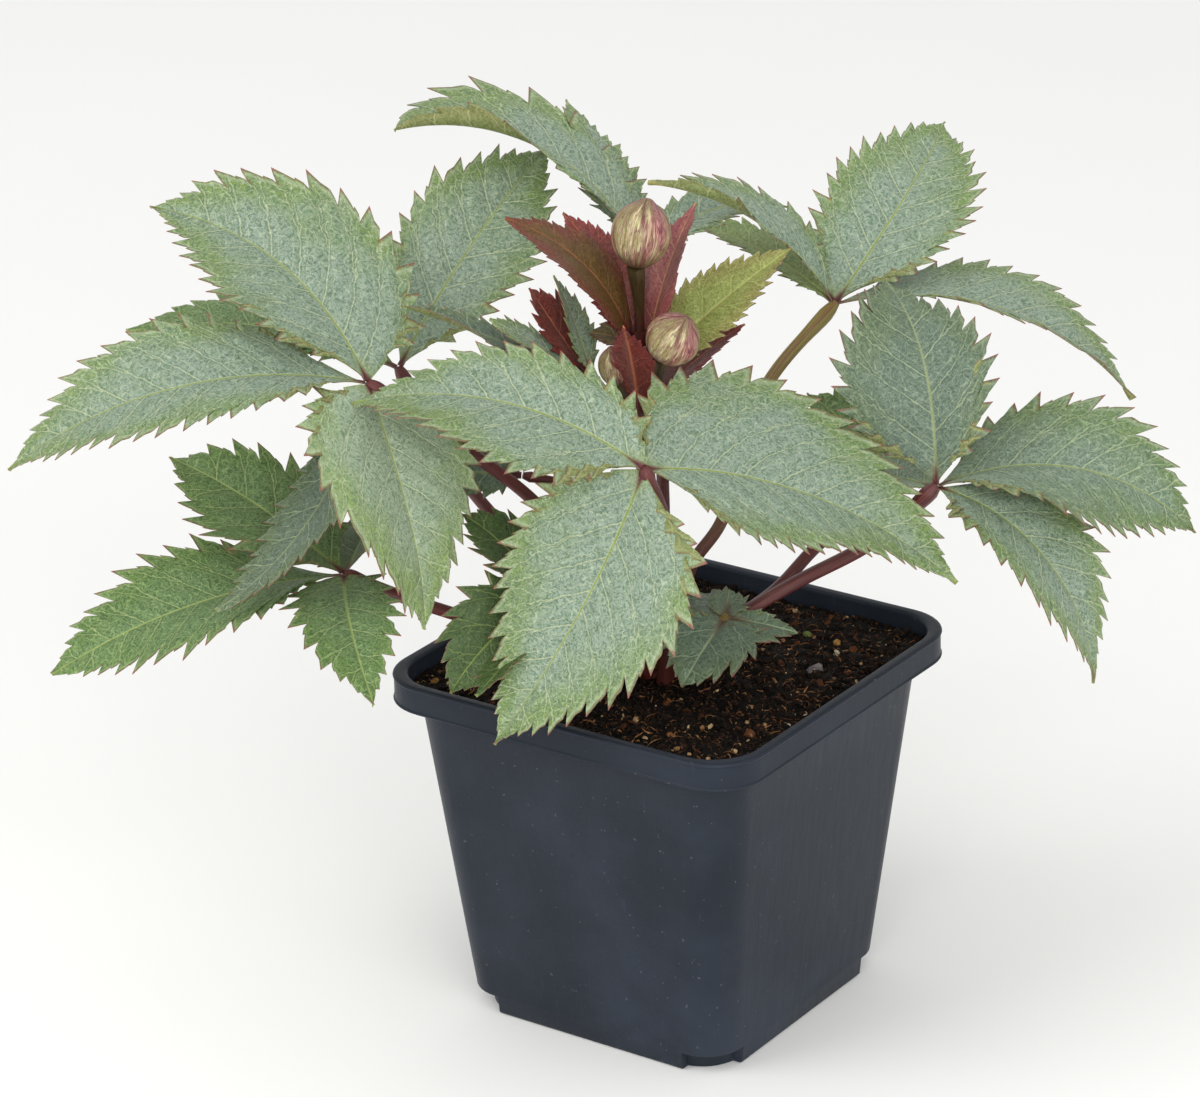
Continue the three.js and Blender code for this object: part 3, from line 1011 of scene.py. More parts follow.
@dataclass
class BladeMaker:
    """Shapes blades from a grid: rows follow the side veins, and the rim carries the teeth."""

    columns: tuple[float, ...] = (0, 0.04, 0.12, 0.23, 0.36, 0.49, 0.61, 0.72, 0.81, 0.88, 0.94, 1)
    base_rows: int = 6  # rows below the first tooth
    phases: tuple[float, ...] = (0.0, 0.2, 0.38, 0.47, 0.7, 0.9)  # where a tooth's rows lie in it
    lengths: Pair = (0.86, 1.14)  # how much teeth differ in length
    depths: Pair = (0.78, 1.14)  # and in depth
    nicked: float = 0.65  # share of teeth with a small nick
    bare: float = 0.66  # how far the rim stands out where it has no tooth
    middle: float = 0.62  # how far out the blade's plain outline lies
    hook: float = 0.42  # how far a tip leans forward, as a share of its depth
    sweep: float = 0.72  # how far the side veins run forward
    quilt: float = 0.5  # height of the cushions between side veins
    frill: float = 0.5  # height of the rim's small waves
    groove: float = 0.25  # depth of the groove along the midrib
    broad: float = 22.0  # halves narrower than this are flatter
    thickness: float = 0.55
    rng: random.Random = field(default_factory=lambda: random.Random(7))

    def rim(self, plan: Blade, hand: int, low: float) -> Rim:
        """Spaces the teeth of one side evenly along its rim.

        Args:
            plan: The blade.
            hand: The side, 0 for left and 1 for right.
            low: Where the blade starts, from 0 to 1.

        Returns:
            For each row, where it meets the rim, how far it stands out, and how far it hooks
            forward, each from 0 to 1.
        """
        t = np.linspace(low, 1, 500)
        steps = np.hypot(np.diff(t) * plan.length, np.diff(plan.half(hand, t)))
        arc = np.concatenate([[0], np.cumsum(steps)]) / steps.sum()
        place = np.arange(plan.teeth) / plan.teeth
        vary = np.array([self.rng.uniform(*self.lengths) for _ in place])
        sizes = (1 + 0.25 * np.sin(np.pi * place) - 0.45 * place**2) * vary
        first = 0.13 - 0.08 * plan.full[hand] + 0.02 * hand
        marks = first + (1 - first) * np.concatenate([[0], np.cumsum(sizes) / sizes.sum()])
        shares = list(first * np.arange(self.base_rows) / self.base_rows)
        out, hook = [self.bare] * self.base_rows, [0.0] * self.base_rows
        for near, far in zip(marks, marks[1:]):
            size = self.rng.uniform(*self.depths)
            tooth = Tooth.NICKED if self.rng.random() < self.nicked else Tooth.PLAIN
            outs, hooks = tooth.value
            shares += [near + (far - near) * phase for phase in self.phases]
            out += [value * size for value in outs]
            hook += hooks
        shares.append(1.0)
        out.append(self.bare)
        hook.append(0.0)
        return np.interp(shares, arc, t), np.array(out), np.array(hook)

    def rows(self, plan: Blade, rims: list[Rim], low: float) -> Array:
        """Where each row leaves the midrib.

        Args:
            plan: The blade.
            rims: Its two rims.
            low: Where the blade starts, from 0 to 1.

        Returns:
            Places along the midrib from 0 to 1.
        """
        behind = [
            np.maximum(
                ends - self.sweep * plan.half(hand, ends) / plan.length, low + 0.3 * (ends - low)
            )
            for hand, (ends, _, _) in enumerate(rims)
        ]
        return np.maximum.accumulate((behind[0] + behind[1]) / 2)

    def spread(self, plan: Blade, rims: list[Rim], u: Array, row: Array, low: float) -> Flat:
        """Lays the blade out flat, teeth and all.

        Args:
            plan: The blade.
            rims: Its two rims.
            u: Each vertex's place across, from 1 on the left to -1 on the right.
            row: Each vertex's row.
            low: Where the blade starts, from 0 to 1.

        Returns:
            The flat blade.
        """
        v_rows = self.rows(plan, rims, low)
        s, t = np.abs(u), v_rows[row].copy()
        flat = Flat(u, v_rows[row], t, np.zeros(len(u)), np.zeros(len(u)))
        for hand, (ends, out, hook) in enumerate(rims):
            mine = u < 0 if hand else u >= 0
            half = np.maximum(plan.half(hand, ends), np.where(ends < 0.5, 1.0, 0.1))
            # Teeth are shallower where the blade is narrow, and near its tip
            depth = np.minimum(plan.depth, 0.5 + 0.33 * half) * np.clip((1 - ends) * 8, 0.15, 1)
            run, grow = np.gradient(ends) * plan.length, np.gradient(plan.half(hand, ends))
            stride = np.maximum(np.hypot(run, grow), 1e-6)
            run, grow = run / stride, grow / stride
            r, sm = row[mine], s[mine]
            rim = flat.edge()[mine] * depth[r]
            push = rim * (out[r] - self.middle + 0.15 * (1 - run[r]))
            hooked = rim * hook[r] * self.hook
            flat.reach[mine] = sm * half[r] + push * run[r] + hooked * grow[r]
            t[mine] += (ends[r] - v_rows[r]) * sm**1.3
            t[mine] += (hooked * run[r] - push * grow[r]) / plan.length
            flat.tip[mine] = smoothstep(0.9, 1.0, sm) * hook[r]
        flat.t, flat.reach = np.clip(t, 0.5 * low, 1.01), np.maximum(flat.reach, 0)
        return flat

    def relief(self, plan: Blade, flat: Flat) -> Array:
        """Raises cushions between the side veins, waves and frills the rim, sinks the midrib.

        Args:
            plan: The blade.
            flat: The same, laid out flat.

        Returns:
            Heights in millimetres.
        """
        s, v, reach = np.abs(flat.u), flat.v, flat.reach
        other = np.where(flat.u > 0, 0.0, 1.0)
        start = self.rng.uniform(0, 6.28)
        climb = plan.length * flat.t - reach * (0.75 + 0.012 * reach)
        veins = climb / 10 / plan.skin.value.spacing
        cushion = 0.5 - 0.5 * np.cos(2 * np.pi * (veins + 0.5 * other))
        quilt = self.quilt * cushion * np.sin(np.pi * s**0.8)
        wave = s**2 * np.sin(7.5 * v + start + 2.1 * other)
        frill = self.frill * flat.edge() * np.sin(23 * v + 2 * start + 1.3 * other)
        groove = -self.groove * np.exp(-((reach / 1.1) ** 2)) * (1 - v)
        broad = min(1.0, max(plan.widths) / self.broad)
        return ((quilt + wave + frill) * broad + groove) * smoothstep(0.0, 0.12, v)

    def raised(self, plan: Blade, flat: Flat) -> tuple[Array, Array]:
        """Folds both halves up from the midrib and rolls their margins in.

        Args:
            plan: The blade.
            flat: The same, laid out flat.

        Returns:
            Distance from the midrib sideways, and out of the face, in millimetres.
        """
        fold = math.radians(plan.fold)
        curl = np.radians(np.where(flat.u > 0, *plan.roll)) * smoothstep(0.3, 0.8, flat.v)
        curl = curl * np.abs(flat.u)
        curl = np.where(np.abs(curl) < 0.001, 0.001, curl)
        level = flat.reach * (np.sin(fold + curl) - math.sin(fold)) / curl
        return level, flat.reach * (math.cos(fold) - np.cos(fold + curl)) / curl

    def make(self, name: str, foot: Sequence[float], plan: Blade, start: float) -> Piece:
        """Makes one blade.

        Args:
            name: The piece's name.
            foot: Where its midrib starts, in millimetres.
            plan: The blade.
            start: How far from the foot the blade starts, in millimetres.

        Returns:
            The finished object.
        """
        low = start / plan.length
        across = np.array([-c for c in self.columns[:0:-1]] + list(self.columns))
        rims = [self.rim(plan, hand, low) for hand in (0, 1)]
        piece, column, row = lattice(name, len(across) - 1, len(rims[0][0]) - 1)
        flat = self.spread(plan, rims, -across[column], row, low)
        relief, side = self.relief(plan, flat), np.sign(flat.u)
        level, lift = self.raised(plan, flat)
        _, left, face = plan.frames(flat.t)
        place = plan.rib(np.array(foot, float), flat.t)
        place = place + left * (side * level)[:, None] + face * (lift + relief)[:, None]
        move_points(piece, place * MM)
        self.chart(piece, flat)
        lay = [flat.reach * side / 10, plan.length * flat.t / 10, flat.tip]
        tag(piece, "lay", np.stack(lay, axis=-1))
        tag(piece, "tone", np.full(len(side), self.rng.random()))
        dress(piece, plan.skin.value, plan.skin.under().value)
        self.thicken(piece, flat)
        return piece

    def chart(self, piece: Piece, flat: Flat) -> None:
        """Writes the UV map that the finish reads.

        Args:
            piece: The blade.
            flat: The same, laid out flat.
        """
        corners = np.empty(len(piece.data.loops), np.int32)
        piece.data.loops.foreach_get("vertex_index", corners)
        uv = np.stack([0.5 + flat.u / 2, flat.v], axis=-1)[corners]
        chart = piece.data.uv_layers[0]
        chart.name = "UVMap"
        chart.data.foreach_set("uv", uv.astype(np.float32).ravel())

    def thicken(self, piece: Piece, flat: Flat) -> None:
        """Gives the blade its thickness, with a rib below, and its second finish underneath.

        Args:
            piece: The blade, with both its finishes.
            flat: The same, laid out flat.
        """
        group = piece.vertex_groups.new(name="rib")
        weights = 0.5 + 0.5 * np.exp(-((flat.reach / 0.8) ** 2)) * (1 - flat.v * 0.6)
        for index, weight in enumerate(weights):
            group.add([index], float(weight), "REPLACE")
        apply_modifier(
            piece, "SOLIDIFY", thickness=self.thickness * MM, offset=-1.0, vertex_group="rib",
            material_offset=1, material_offset_rim=0,
        )
        piece.vertex_groups.clear()
        smooth(piece, 50)


# ---------------------------------------------------------------- stalks


@dataclass
class TubeMaker:
    """Rolls a grid into a ribbed tube along a route."""

    sides: int = 18
    ribs: int = 5
    twist: float = 0.6  # how far the ribs turn from end to end, in radians

    def make(
        self, name: str, route: Route, radius: Callable[[Array], Array],
        spacing: float = 2.2, rib_height: float = 0.06,
    ) -> Piece:
        """Makes one stalk.

        Args:
            name: The piece's name.
            route: Its route in millimetres.
            radius: Its radius in millimetres at places from 0 to 1.
            spacing: Millimetres between rings.
            rib_height: Height of the ribs as a share of the radius.

        Returns:
            The object, closed and smooth.
        """
        length = sum(math.dist(a, b) for a, b in zip(route, route[1:]))
        rings = max(6, round(length / spacing))
        line = catmull_rom(route, rings + 1)
        right, over = self.frames(line)
        piece, column, row = lattice(name, self.sides, rings)
        angle, t = 2 * np.pi * column / self.sides, row / rings
        bulge = np.cos(self.ribs * angle + self.twist * t) * 0.7 + np.cos(2 * angle + 1.1) * 0.5
        size = radius(t) * (1 + rib_height * bulge)
        wide, deep = (size * np.cos(angle))[:, None], (size * np.sin(angle))[:, None]
        move_points(piece, (line[row] + right[row] * wide + over[row] * deep) * MM)
        piece.data.uv_layers[0].name = "UVMap"
        with editing(piece):
            bpy.ops.mesh.remove_doubles(threshold=0.01 * MM)
            bpy.ops.mesh.fill_holes(sides=0)
            bpy.ops.mesh.normals_make_consistent(inside=False)
        smooth(piece, 60)
        return piece

    def frames(self, line: Array) -> tuple[Array, Array]:
        """Carries two directions along a line without twisting them.

        Args:
            line: Points along the line.

        Returns:
            Unit vectors across the line at each point, at right angles to each other.
        """
        ahead = np.gradient(line, axis=0)
        ahead /= np.linalg.norm(ahead, axis=1)[:, None]
        across = np.cross(ahead[0], (0.3, 0.9, 0.1))
        right = []
        for direction in ahead:
            across = across - direction * across.dot(direction)
            across = across / np.linalg.norm(across)
            right.append(across)
        return np.array(right), np.cross(ahead, right)


# ---------------------------------------------------------------- the plant's habit


@dataclass
class Leaf:
    """One compound leaf: a stalk from the crown to a hub, and leaflets around the hub."""

    name: str
    hub: Point
    via: tuple[Point, ...]
    blades: tuple[Blade, ...]
    foot: Point | None = None  # heading, distance and height at the crown
    origin: Point | None = None  # where it leaves the flowering stem instead
    stem: Stem = Stem.MAROON
    girth: float = 2.1
    extras: tuple[Blade, ...] = ()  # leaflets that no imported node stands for
    past_hub: float = 0.5  # how far the stalk runs on under the leaflets
    hub_gap: float = 0.9  # how far from the hub a leaflet starts

    def start(self) -> Array:
        """Where the stalk starts.

        Returns:
            The place in millimetres.
        """
        if self.origin:
            return np.array(self.origin, float)
        heading, distance, height = self.foot
        return np.array([*CROWN, SOIL_TOP + 0.3 + height]) + compass(heading, 0) * distance

    def swell(self, t: Array) -> Array:
        """The stalk's radius: wider at its foot and under its leaflets.

        Args:
            t: Places along the stalk from 0 to 1.

        Returns:
            Radii in millimetres.
        """
        foot = 0.34 * (1 - smoothstep(0.0, 0.22, t)) * (0 if self.origin else 1)
        head = 0.2 * smoothstep(0.88, 0.96, t) - 0.5 * smoothstep(0.97, 1.0, t)
        return self.girth * (0.93 + foot + head)

    def build(self, tubes: TubeMaker, blades: BladeMaker) -> None:
        """Models the stalk and every leaflet, and seats them on the frame.

        Args:
            tubes: Makes the stalk.
            blades: Makes the leaflets.
        """
        hub, before = np.array(self.hub, float), np.array(self.via[-1], float)
        past = hub + (hub - before) / np.linalg.norm(hub - before) * self.past_hub
        name = f"stalk_{self.name}"
        stalk = tubes.make(name, [self.start(), *self.via, past], self.swell)
        dress(stalk, self.stem.value)
        seat(stalk, "stalk", name)
        for number, plan in enumerate(self.blades + self.extras, start=1):
            name = f"leaflet_{self.name}_{number}"
            nodes = [name] if number <= len(self.blades) else []
            seat(blades.make(name, self.hub, plan, self.hub_gap), "leaf", *nodes)


GREY, MID, PALE, BLUE = Skin.GREY, Skin.MID, Skin.PALE, Skin.BLUE
GREEN, DARK, DULL, FRESH = Skin.GREEN, Skin.DARK, Skin.DULL, Skin.FRESH

LEAVES = (
    Leaf(
        "front", (20, -41, 191), ((12, -17, 145), (20, -31, 172)),
        (
            Blade(92, (28, 21), (-160, 37), (3, 55), (-31, -11), 0.44, GREY, 15, full=(0.3, 0.9)),
            Blade(106, (38, 31), (69, -10), (-60, 27), (33, 11), 0.38, GREY, 17, full=(1, 0.3)),
            Blade(
                93, (33, 29), (-117, -66), (-12, -16), (-45, -29), 0.4, GREY, 16, full=(0.4, 0.9)
            ),
        ),
        foot=(-62, 11.2, 0.7),
    ),
    Leaf(
        "left_upper", (-65, -60, 207), ((-25, -25, 160), (-46, -45, 188)),
        (
            Blade(114, (22, 25), (-128, 20), (-16, 59), (-6, -30), 0.47, GREY, 17, full=(0.1, 0.1)),
            Blade(92, (27, 33), (161, 51), (39, 46), (5, -33), 0.45, GREY, 15, full=(0.2, 0.7)),
            Blade(79, (26, 32), (-38, -28), (24, 66), (-10, -24), 0.4, PALE, 13, full=(0.8, 0.9)),
            Blade(84, (15, 13), (-91, -64), (-21, -45), (12, 2), 0.5, BLUE, 14, 3.4),
        ),
        foot=(-150, 10, 3.5),
    ),
    Leaf(
        "left_back", (-84, -20, 195), ((-37, -16, 140), (-61, -22, 166)),
        (
            Blade(86, (22, 21), (73, 54), (14, 30), (17, 44), 0.54, GREY, 13, 4.2),
            Blade(93, (14, 21), (-166, 21), (0, 40), (-8, -11), 0.47, GREEN, 13, 4.6),
        ),
        foot=(-178, 10.6, 2),
    ),
    Leaf(
        "back", (-30, 34, 225), ((-8, 10, 160), (-19, 24, 197)),
        (
            Blade(
                92, (8, 25), (-174, 63), (44, 71), (-2, -4), 0.66, GREY, 9, 7.5,
                roll=(165, 0), sharp=0.9,
            ),
            Blade(75, (16, 9), (141, 29), (6, 12), (20, 20), 0.46, GREY, 12, 5.0),
            Blade(56, (12, 12), (70, 34), (-6, 58), (5, 10), 0.46, GREY, 10, 3.6),
        ),
        foot=(128, 11.2, 0.7),
    ),
    Leaf(
        "right_upper", (18, 67, 208), ((3.5, 6.5, 138), (9, 16, 152), (8, 42, 186)),
        (
            Blade(76, (7, 20), (-135, 63), (6, 51), (-29, 13), 0.42, GREY, 11, 4.6, roll=(160, 0)),
            Blade(65, (7, 13), (161, 20), (20, 16), (-4, -4), 0.46, FRESH, 11, 3.8),
            Blade(84, (23, 23), (81, 37), (26, 23), (10, 22), 0.5, GREY, 15, 4.8, (0.7, 0.2)),
            Blade(103, (25, 14), (31, 16), (2, 70), (-9, 10), 0.47, GREY, 16, 5.0, roll=(0, 38)),
        ),
        foot=(88, 11.2, 0.7), stem=Stem.OLIVE,
    ),
    Leaf(
        "right", (69, 42, 167), ((21, 3, 127), (34, 18, 136.5), (54, 32, 150)),
        (
            Blade(72, (27, 19), (129, 88), (22, 75), (-42, 18), 0.5, BLUE, 13, 5.4),
            Blade(86, (26, 27), (38, 25), (-4, 75), (-5, 50), 0.45, MID, 15, 5.2),
            Blade(84, (20, 20), (-5, 4), (10, 93), (9, -4), 0.48, GREY, 14, 5.2),
            Blade(40, (13, 13), (163, -4), (12, 4), (-8, -8), 0.46, GREY, 8, 3.6),
        ),
        foot=(25, 7.5, 9), girth=2.25,
    ),
    Leaf(
        "right_back", (42, 69, 154), ((20, 27, 127), (28, 43, 140)),
        (Blade(48, (14, 14), (167, 30), (-6, 21), (-20, -10), 0.46, GREEN, 9, 3.8),),
        foot=(58, 7.5, 7),
    ),
    Leaf(
        "left_lower", (-67, -73, 150), ((-32, -38, 127), (-52, -58, 139)),
        (
            Blade(93, (23, 23), (-128, 5), (-5, 36), (14, -44), 0.45, GREEN, 13, 6.2, (0, 0)),
            Blade(68, (22, 20), (-177, 34), (-1, 24), (-2, -29), 0.46, GREEN, 9, 6.2),
            Blade(65, (14, 17), (-54, 2), (17, 31), (7, -2), 0.42, GREEN, 9, 5.6, (0.7, 0.7)),
            Blade(38, (13, 13), (108, 18), (4, 13), (-30, -20), 0.46, DARK, 7, 4.2),
        ),
        foot=(-116, 8, 5.5),
    ),
    Leaf(
        "inner_front", (-12, -47, 145), ((-3, -30, 130),),
        (
            Blade(42, (15, 16), (-108, -10), (0, 39), (-50, -50), 0.46, DARK, 8, 5.2, (0.5, 0.5)),
            Blade(36, (14, 14), (-160, 62), (-9, 38), (-9, -14), 0.46, DARK, 7, 5.0),
        ),
        foot=(-92, 10.4, 3),
        extras=(Blade(41, (9, 11), (-83, -29), (-12, -9), (15, 15), 0.46, DARK, 7, 4.0),),
    ),
    Leaf(
        "soil_side", (26, -8, 133), ((17, -8, 122),),
        (
            Blade(29, (18, 14), (-85, -14), (-4, 23), (-6, -4), 0.42, DULL, 7, 5.0, (1, 0.9)),
            Blade(22, (5, 9), (26, -4), (6, 16), (16, 16), 0.5, DULL, 5, 4.8, (0.9, 0.9)),
            Blade(22, (12, 7), (140, 5), (6, 14), (-8, -8), 0.5, DULL, 5, 3.8, (0.8, 0.6)),
        ),
        foot=(-22, 10.1, 3), stem=Stem.OLIVE,
        extras=(Blade(13, (6, 6), (116, 22), (4, 8), (0, 0), 0.5, DULL, 4, 3.6, (0.8, 0.8)),),
    ),
    Leaf(
        "stem_leaf", (-33, -27, 173), ((-20, -16, 168),),
        (Blade(32, (8, 9), (-140, 11), (-2, 16), (-50, -50), 0.46, BLUE, 6, 2.4),),
        origin=(-8.4, -6, 160), girth=1.6,
    ),
)


@dataclass
class Crown:
    """The crown in the soil, the flowering stem with its side shoot, and the stalks of its buds."""

    radius: float = 8.5
    top: float = 122.0
    sunk: float = 4.0  # how much lower its middle lies than halfway up
    stretch: float = 1.22  # how much taller than wide it is
    shoot_girth: float = 3.3  # radius at its foot
    side_girth: float = 1.6
    bud_girth: float = 1.45
    shoot: Route = ((3, -5, 108), (-1, -3, 140), (-5, -3, 168), (-6, -4, 192), (-6, -4, 217))
    side_shoot: Route = ((-5.5, -4, 183), (-11, -7, 192), (-18, -12, 202))
    # Heading from the crown, distance and height of each sheath, then length, widths, aim,
    # bend and bank of its blade
    sheaths: tuple[tuple[float, float, float, float, Pair, Pair, Pair, Pair], ...] = (
        (-60, 9.0, 110.0, 26, (6, 6), (-50, 74), (4, 20), (0, 0)),
        (-15, 9.5, 110.5, 24, (6, 5), (-18, 66), (5, 24), (8, 0)),
        (-105, 9.0, 110.5, 22, (6, 6), (-104, 70), (0, 26), (0, 0)),
        (-150, 9.0, 109.5, 24, (6, 5), (-156, 74), (0, 18), (0, 0)),
        (35, 9.5, 110.0, 23, (6, 6), (38, 70), (0, 22), (0, 0)),
        (110, 9.5, 109.5, 26, (7, 6), (112, 74), (0, 20), (0, 0)),
        (165, 9.5, 109.5, 24, (6, 7), (168, 72), (0, 20), (0, 0)),
    )

    def dome(self) -> Piece:
        """The woody crown: a ball drawn up into a knobbly cone.

        Returns:
            The object.
        """
        middle = np.array([*CROWN, (SOIL_TOP + self.top) / 2 - self.sunk])
        piece = begin(
            "stem", bpy.ops.mesh.primitive_uv_sphere_add,
            segments=40, ring_count=24, radius=self.radius * MM, location=middle * MM,
        )
        at = points_of(piece) / MM - middle
        angle = np.arctan2(at[:, 1], at[:, 0])
        high = np.clip(at[:, 2] / self.radius, -1, 1)
        knobs = 1 + 0.10 * np.cos(7 * angle + 2 * high) + 0.05 * np.cos(13 * angle - 3 * high)
        broad = knobs * np.where(high > 0, 1 - 0.28 * high, 1.0)
        shaped = at * np.stack([broad, broad, np.full(len(at), self.stretch)], axis=-1)
        move_points(piece, (shaped + middle) * MM)
        piece.data.uv_layers[0].name = "UVMap"
        smooth(piece)
        return piece

    def build(self, tubes: TubeMaker, blades: BladeMaker, buds: Sequence["Bud"]) -> None:
        """Models the woody parts as one piece, and the sheaths around them.

        Args:
            tubes: Makes the shoots and stalks.
            blades: Makes the sheaths.
            buds: The buds that stalks lead to.
        """
        dome = self.dome()
        dress(dome, Stem.SHOOT.value, Stem.BUD.value)
        main = tubes.make(
            "shoot", self.shoot, lambda t: self.shoot_girth - t**1.2, rib_height=0.07
        )
        side = tubes.make(
            "side_shoot", self.side_shoot, lambda t: self.side_girth + 0.7 * smoothstep(0.8, 1, t)
        )
        stalks = [
            tubes.make(
                "bud_stalk", [*bud.stalk, bud.bottom()],
                lambda t: self.bud_girth + 1.2 * smoothstep(0.35, 1.0, t), spacing=1.2,
            )
            for bud in buds
        ]
        for part in (main, side):
            dress(part, Stem.SHOOT.value)
        for part in stalks:
            dress(part, Stem.BUD.value)
        seat(join([dome, main, side, *stalks], "stem"), "stalk", "stem")
        for number, (turn, distance, height, *sizes) in enumerate(self.sheaths, start=1):
            foot = np.array([*CROWN, height]) + compass(turn, 0) * distance
            plan = Blade(*sizes, widest=0.42, skin=Skin.SHEATH, teeth=5, depth=0.3)
            seat(blades.make(f"crown_sheath_{number}", foot, plan, 0.0), "stalk")


@dataclass
class Bud:
    """A closed flower: five sepals wrapped over one another around an axis."""

    name: str
    at: Point
    half: Pair  # half width and half height, in millimetres
    aim: Pair
    stalk: Route
    sepals: int = 5
    wrap: float = 0.09  # how far a sepal's edge turns on its way up, as a share of its width
    segments: int = 70
    rings: int = 40
    sunk: float = 0.8  # how far its stalk ends inside its skin

    def bottom(self) -> Array:
        """Where its stalk meets it, a little inside its skin."""
        return np.array(self.at, float) - compass(*self.aim) * (self.half[1] - self.sunk)

    def build(self) -> None:
        """Models the bud from a ball: a pinched tip, a flattened base and stepped sepal edges."""
        ball = bpy.ops.mesh.primitive_uv_sphere_add
        piece = begin(self.name, ball, segments=self.segments, ring_count=self.rings, radius=1)
        at = points_of(piece)
        angle = np.arctan2(at[:, 1], at[:, 0])
        high = np.clip(at[:, 2], -1, 1)
        turn = self.sepals * (angle / (2 * np.pi) + self.wrap * (high + 1))
        share = turn - np.floor(turn)
        whole = smoothstep(-0.95, -0.5, high) * (1 - smoothstep(0.9, 1.0, high))
        step = 0.045 * (share - 0.5) * whole
        belly = 0.035 * np.sin(np.pi * share)
        slim = 1 + step + belly - 0.10 * smoothstep(0.55, 1.0, high) - 0.03 * np.maximum(0, -high)
        slim = slim * (1 + 0.02 * np.cos(3 * angle + 1))
        tip = 0.07 * smoothstep(0.93, 1.0, high)
        shaped = np.stack([at[:, 0] * slim, at[:, 1] * slim, high * 0.985 + tip], axis=-1)
        shaped *= np.array([self.half[0], self.half[0], self.half[1]])
        axis = Vector(compass(*self.aim))
        spin = np.array(Vector((0, 0, 1)).rotation_difference(axis).to_matrix())
        move_points(piece, (shaped @ spin.T + np.array(self.at, float)) * MM)
        piece.data.uv_layers[0].name = "UVMap"
        smooth(piece, 40)
        dress(piece, BudFinish())
        seat(piece, "bud", self.name)


RED, ROSE, OLIVE, BROWN = Skin.RED, Skin.ROSE, Skin.OLIVE, Skin.BROWN
FULL = (0.8, 0.8)


@dataclass
class FlowerHead:
    """The bracts around the head of the shoot and around its side knob, and the three buds."""

    axis: Pair = (-6.0, -4.0)
    stand_off: float = 2.7  # how far from the axis a bract starts
    # Heading from the axis and height of each bract's foot, and its blade
    bracts: tuple[tuple[float, float, Blade], ...] = (
        (-150, 214, Blade(
            56, (13, 10), (-138, 76), (-7, 57), (-21, -28), 0.46, Skin.OLIVE_RED, 15, 1.2, FULL
        )),
        (165, 214, Blade(44, (9, 9), (173, 72), (1, 42), (-30, -30), 0.46, RED, 13, 1.2, FULL)),
        (-10, 209, Blade(49, (12, 11), (84, 77), (1, 34), (-23, -26), 0.46, ROSE, 13, 1.0, FULL)),
        (15, 205, Blade(56, (12, 10), (56, 41), (0, 14), (34, 28), 0.46, OLIVE, 13, 2.2)),
        (30, 194, Blade(37, (8, 8), (50, 44), (0, 16), (-6, 10), 0.46, RED, 10, 1.6)),
        (185, 212, Blade(14, (5, 7), (195, 28), (2, 34), (-14, -14), 0.5, BROWN, 7, 0.7, FULL)),
        (-60, 192, Blade(41, (7, 7), (-68, 69), (1, 20), (-8, -8), 0.46, RED, 12, 1.3, FULL)),
    )
    side_hub: Point = (-18, -12, 202)
    side_gap: float = 0.8  # how far from the side knob a bract starts
    side_bracts: tuple[Blade, ...] = (
        Blade(39, (9, 7), (-124, 41), (-5, 9), (-4, -24), 0.6, GREY, 8, 2.2),
        Blade(33, (7, 7), (158, 67), (20, 10), (20, 20), 0.5, GREY, 8, 2.2),
        Blade(33, (9, 11), (-172, 50), (10, -8), (2, -14), 0.56, RED, 6, 3.6, (0, 0), sharp=1.15),
        Blade(62, (9, 7), (-140, 28), (4, 4), (-10, -14), 0.58, BLUE, 10, 2.4, roll=(70, 0)),
    )
    buds: tuple[Bud, ...] = (
        Bud("bud_1", (-4, -5, 248), (8.6, 10.3), (80, 74), ((-6, -4, 212), (-6, -4, 226))),
        Bud("bud_2", (10, -10, 219.5), (7.9, 8.2), (10, 58), ((-5.5, -4, 196), (0, -6, 202))),
        Bud("bud_3", (-11.1, -9.9, 206.6), (4.7, 6.4), (-125, 80), ((-6, -4, 190), (-8, -7, 195))),
    )

    def build(self, blades: BladeMaker) -> None:
        """Models and seats every bract and bud.

        Args:
            blades: Makes the bracts.
        """
        for number, (turn, height, plan) in enumerate(self.bracts, start=1):
            foot = np.array([*self.axis, height]) + compass(turn, 0) * self.stand_off
            name = f"bract_{number}"
            seat(blades.make(name, foot, plan, 0.0), "bract", name)
        for number, plan in enumerate(self.side_bracts, start=1):
            name = f"side_bract_{number}"
            slot = "bract" if plan.skin is RED else "leaf"
            seat(blades.make(name, self.side_hub, plan, self.side_gap), slot, name)
        for bud in self.buds:
            bud.build()


# ---------------------------------------------------------------- the pot


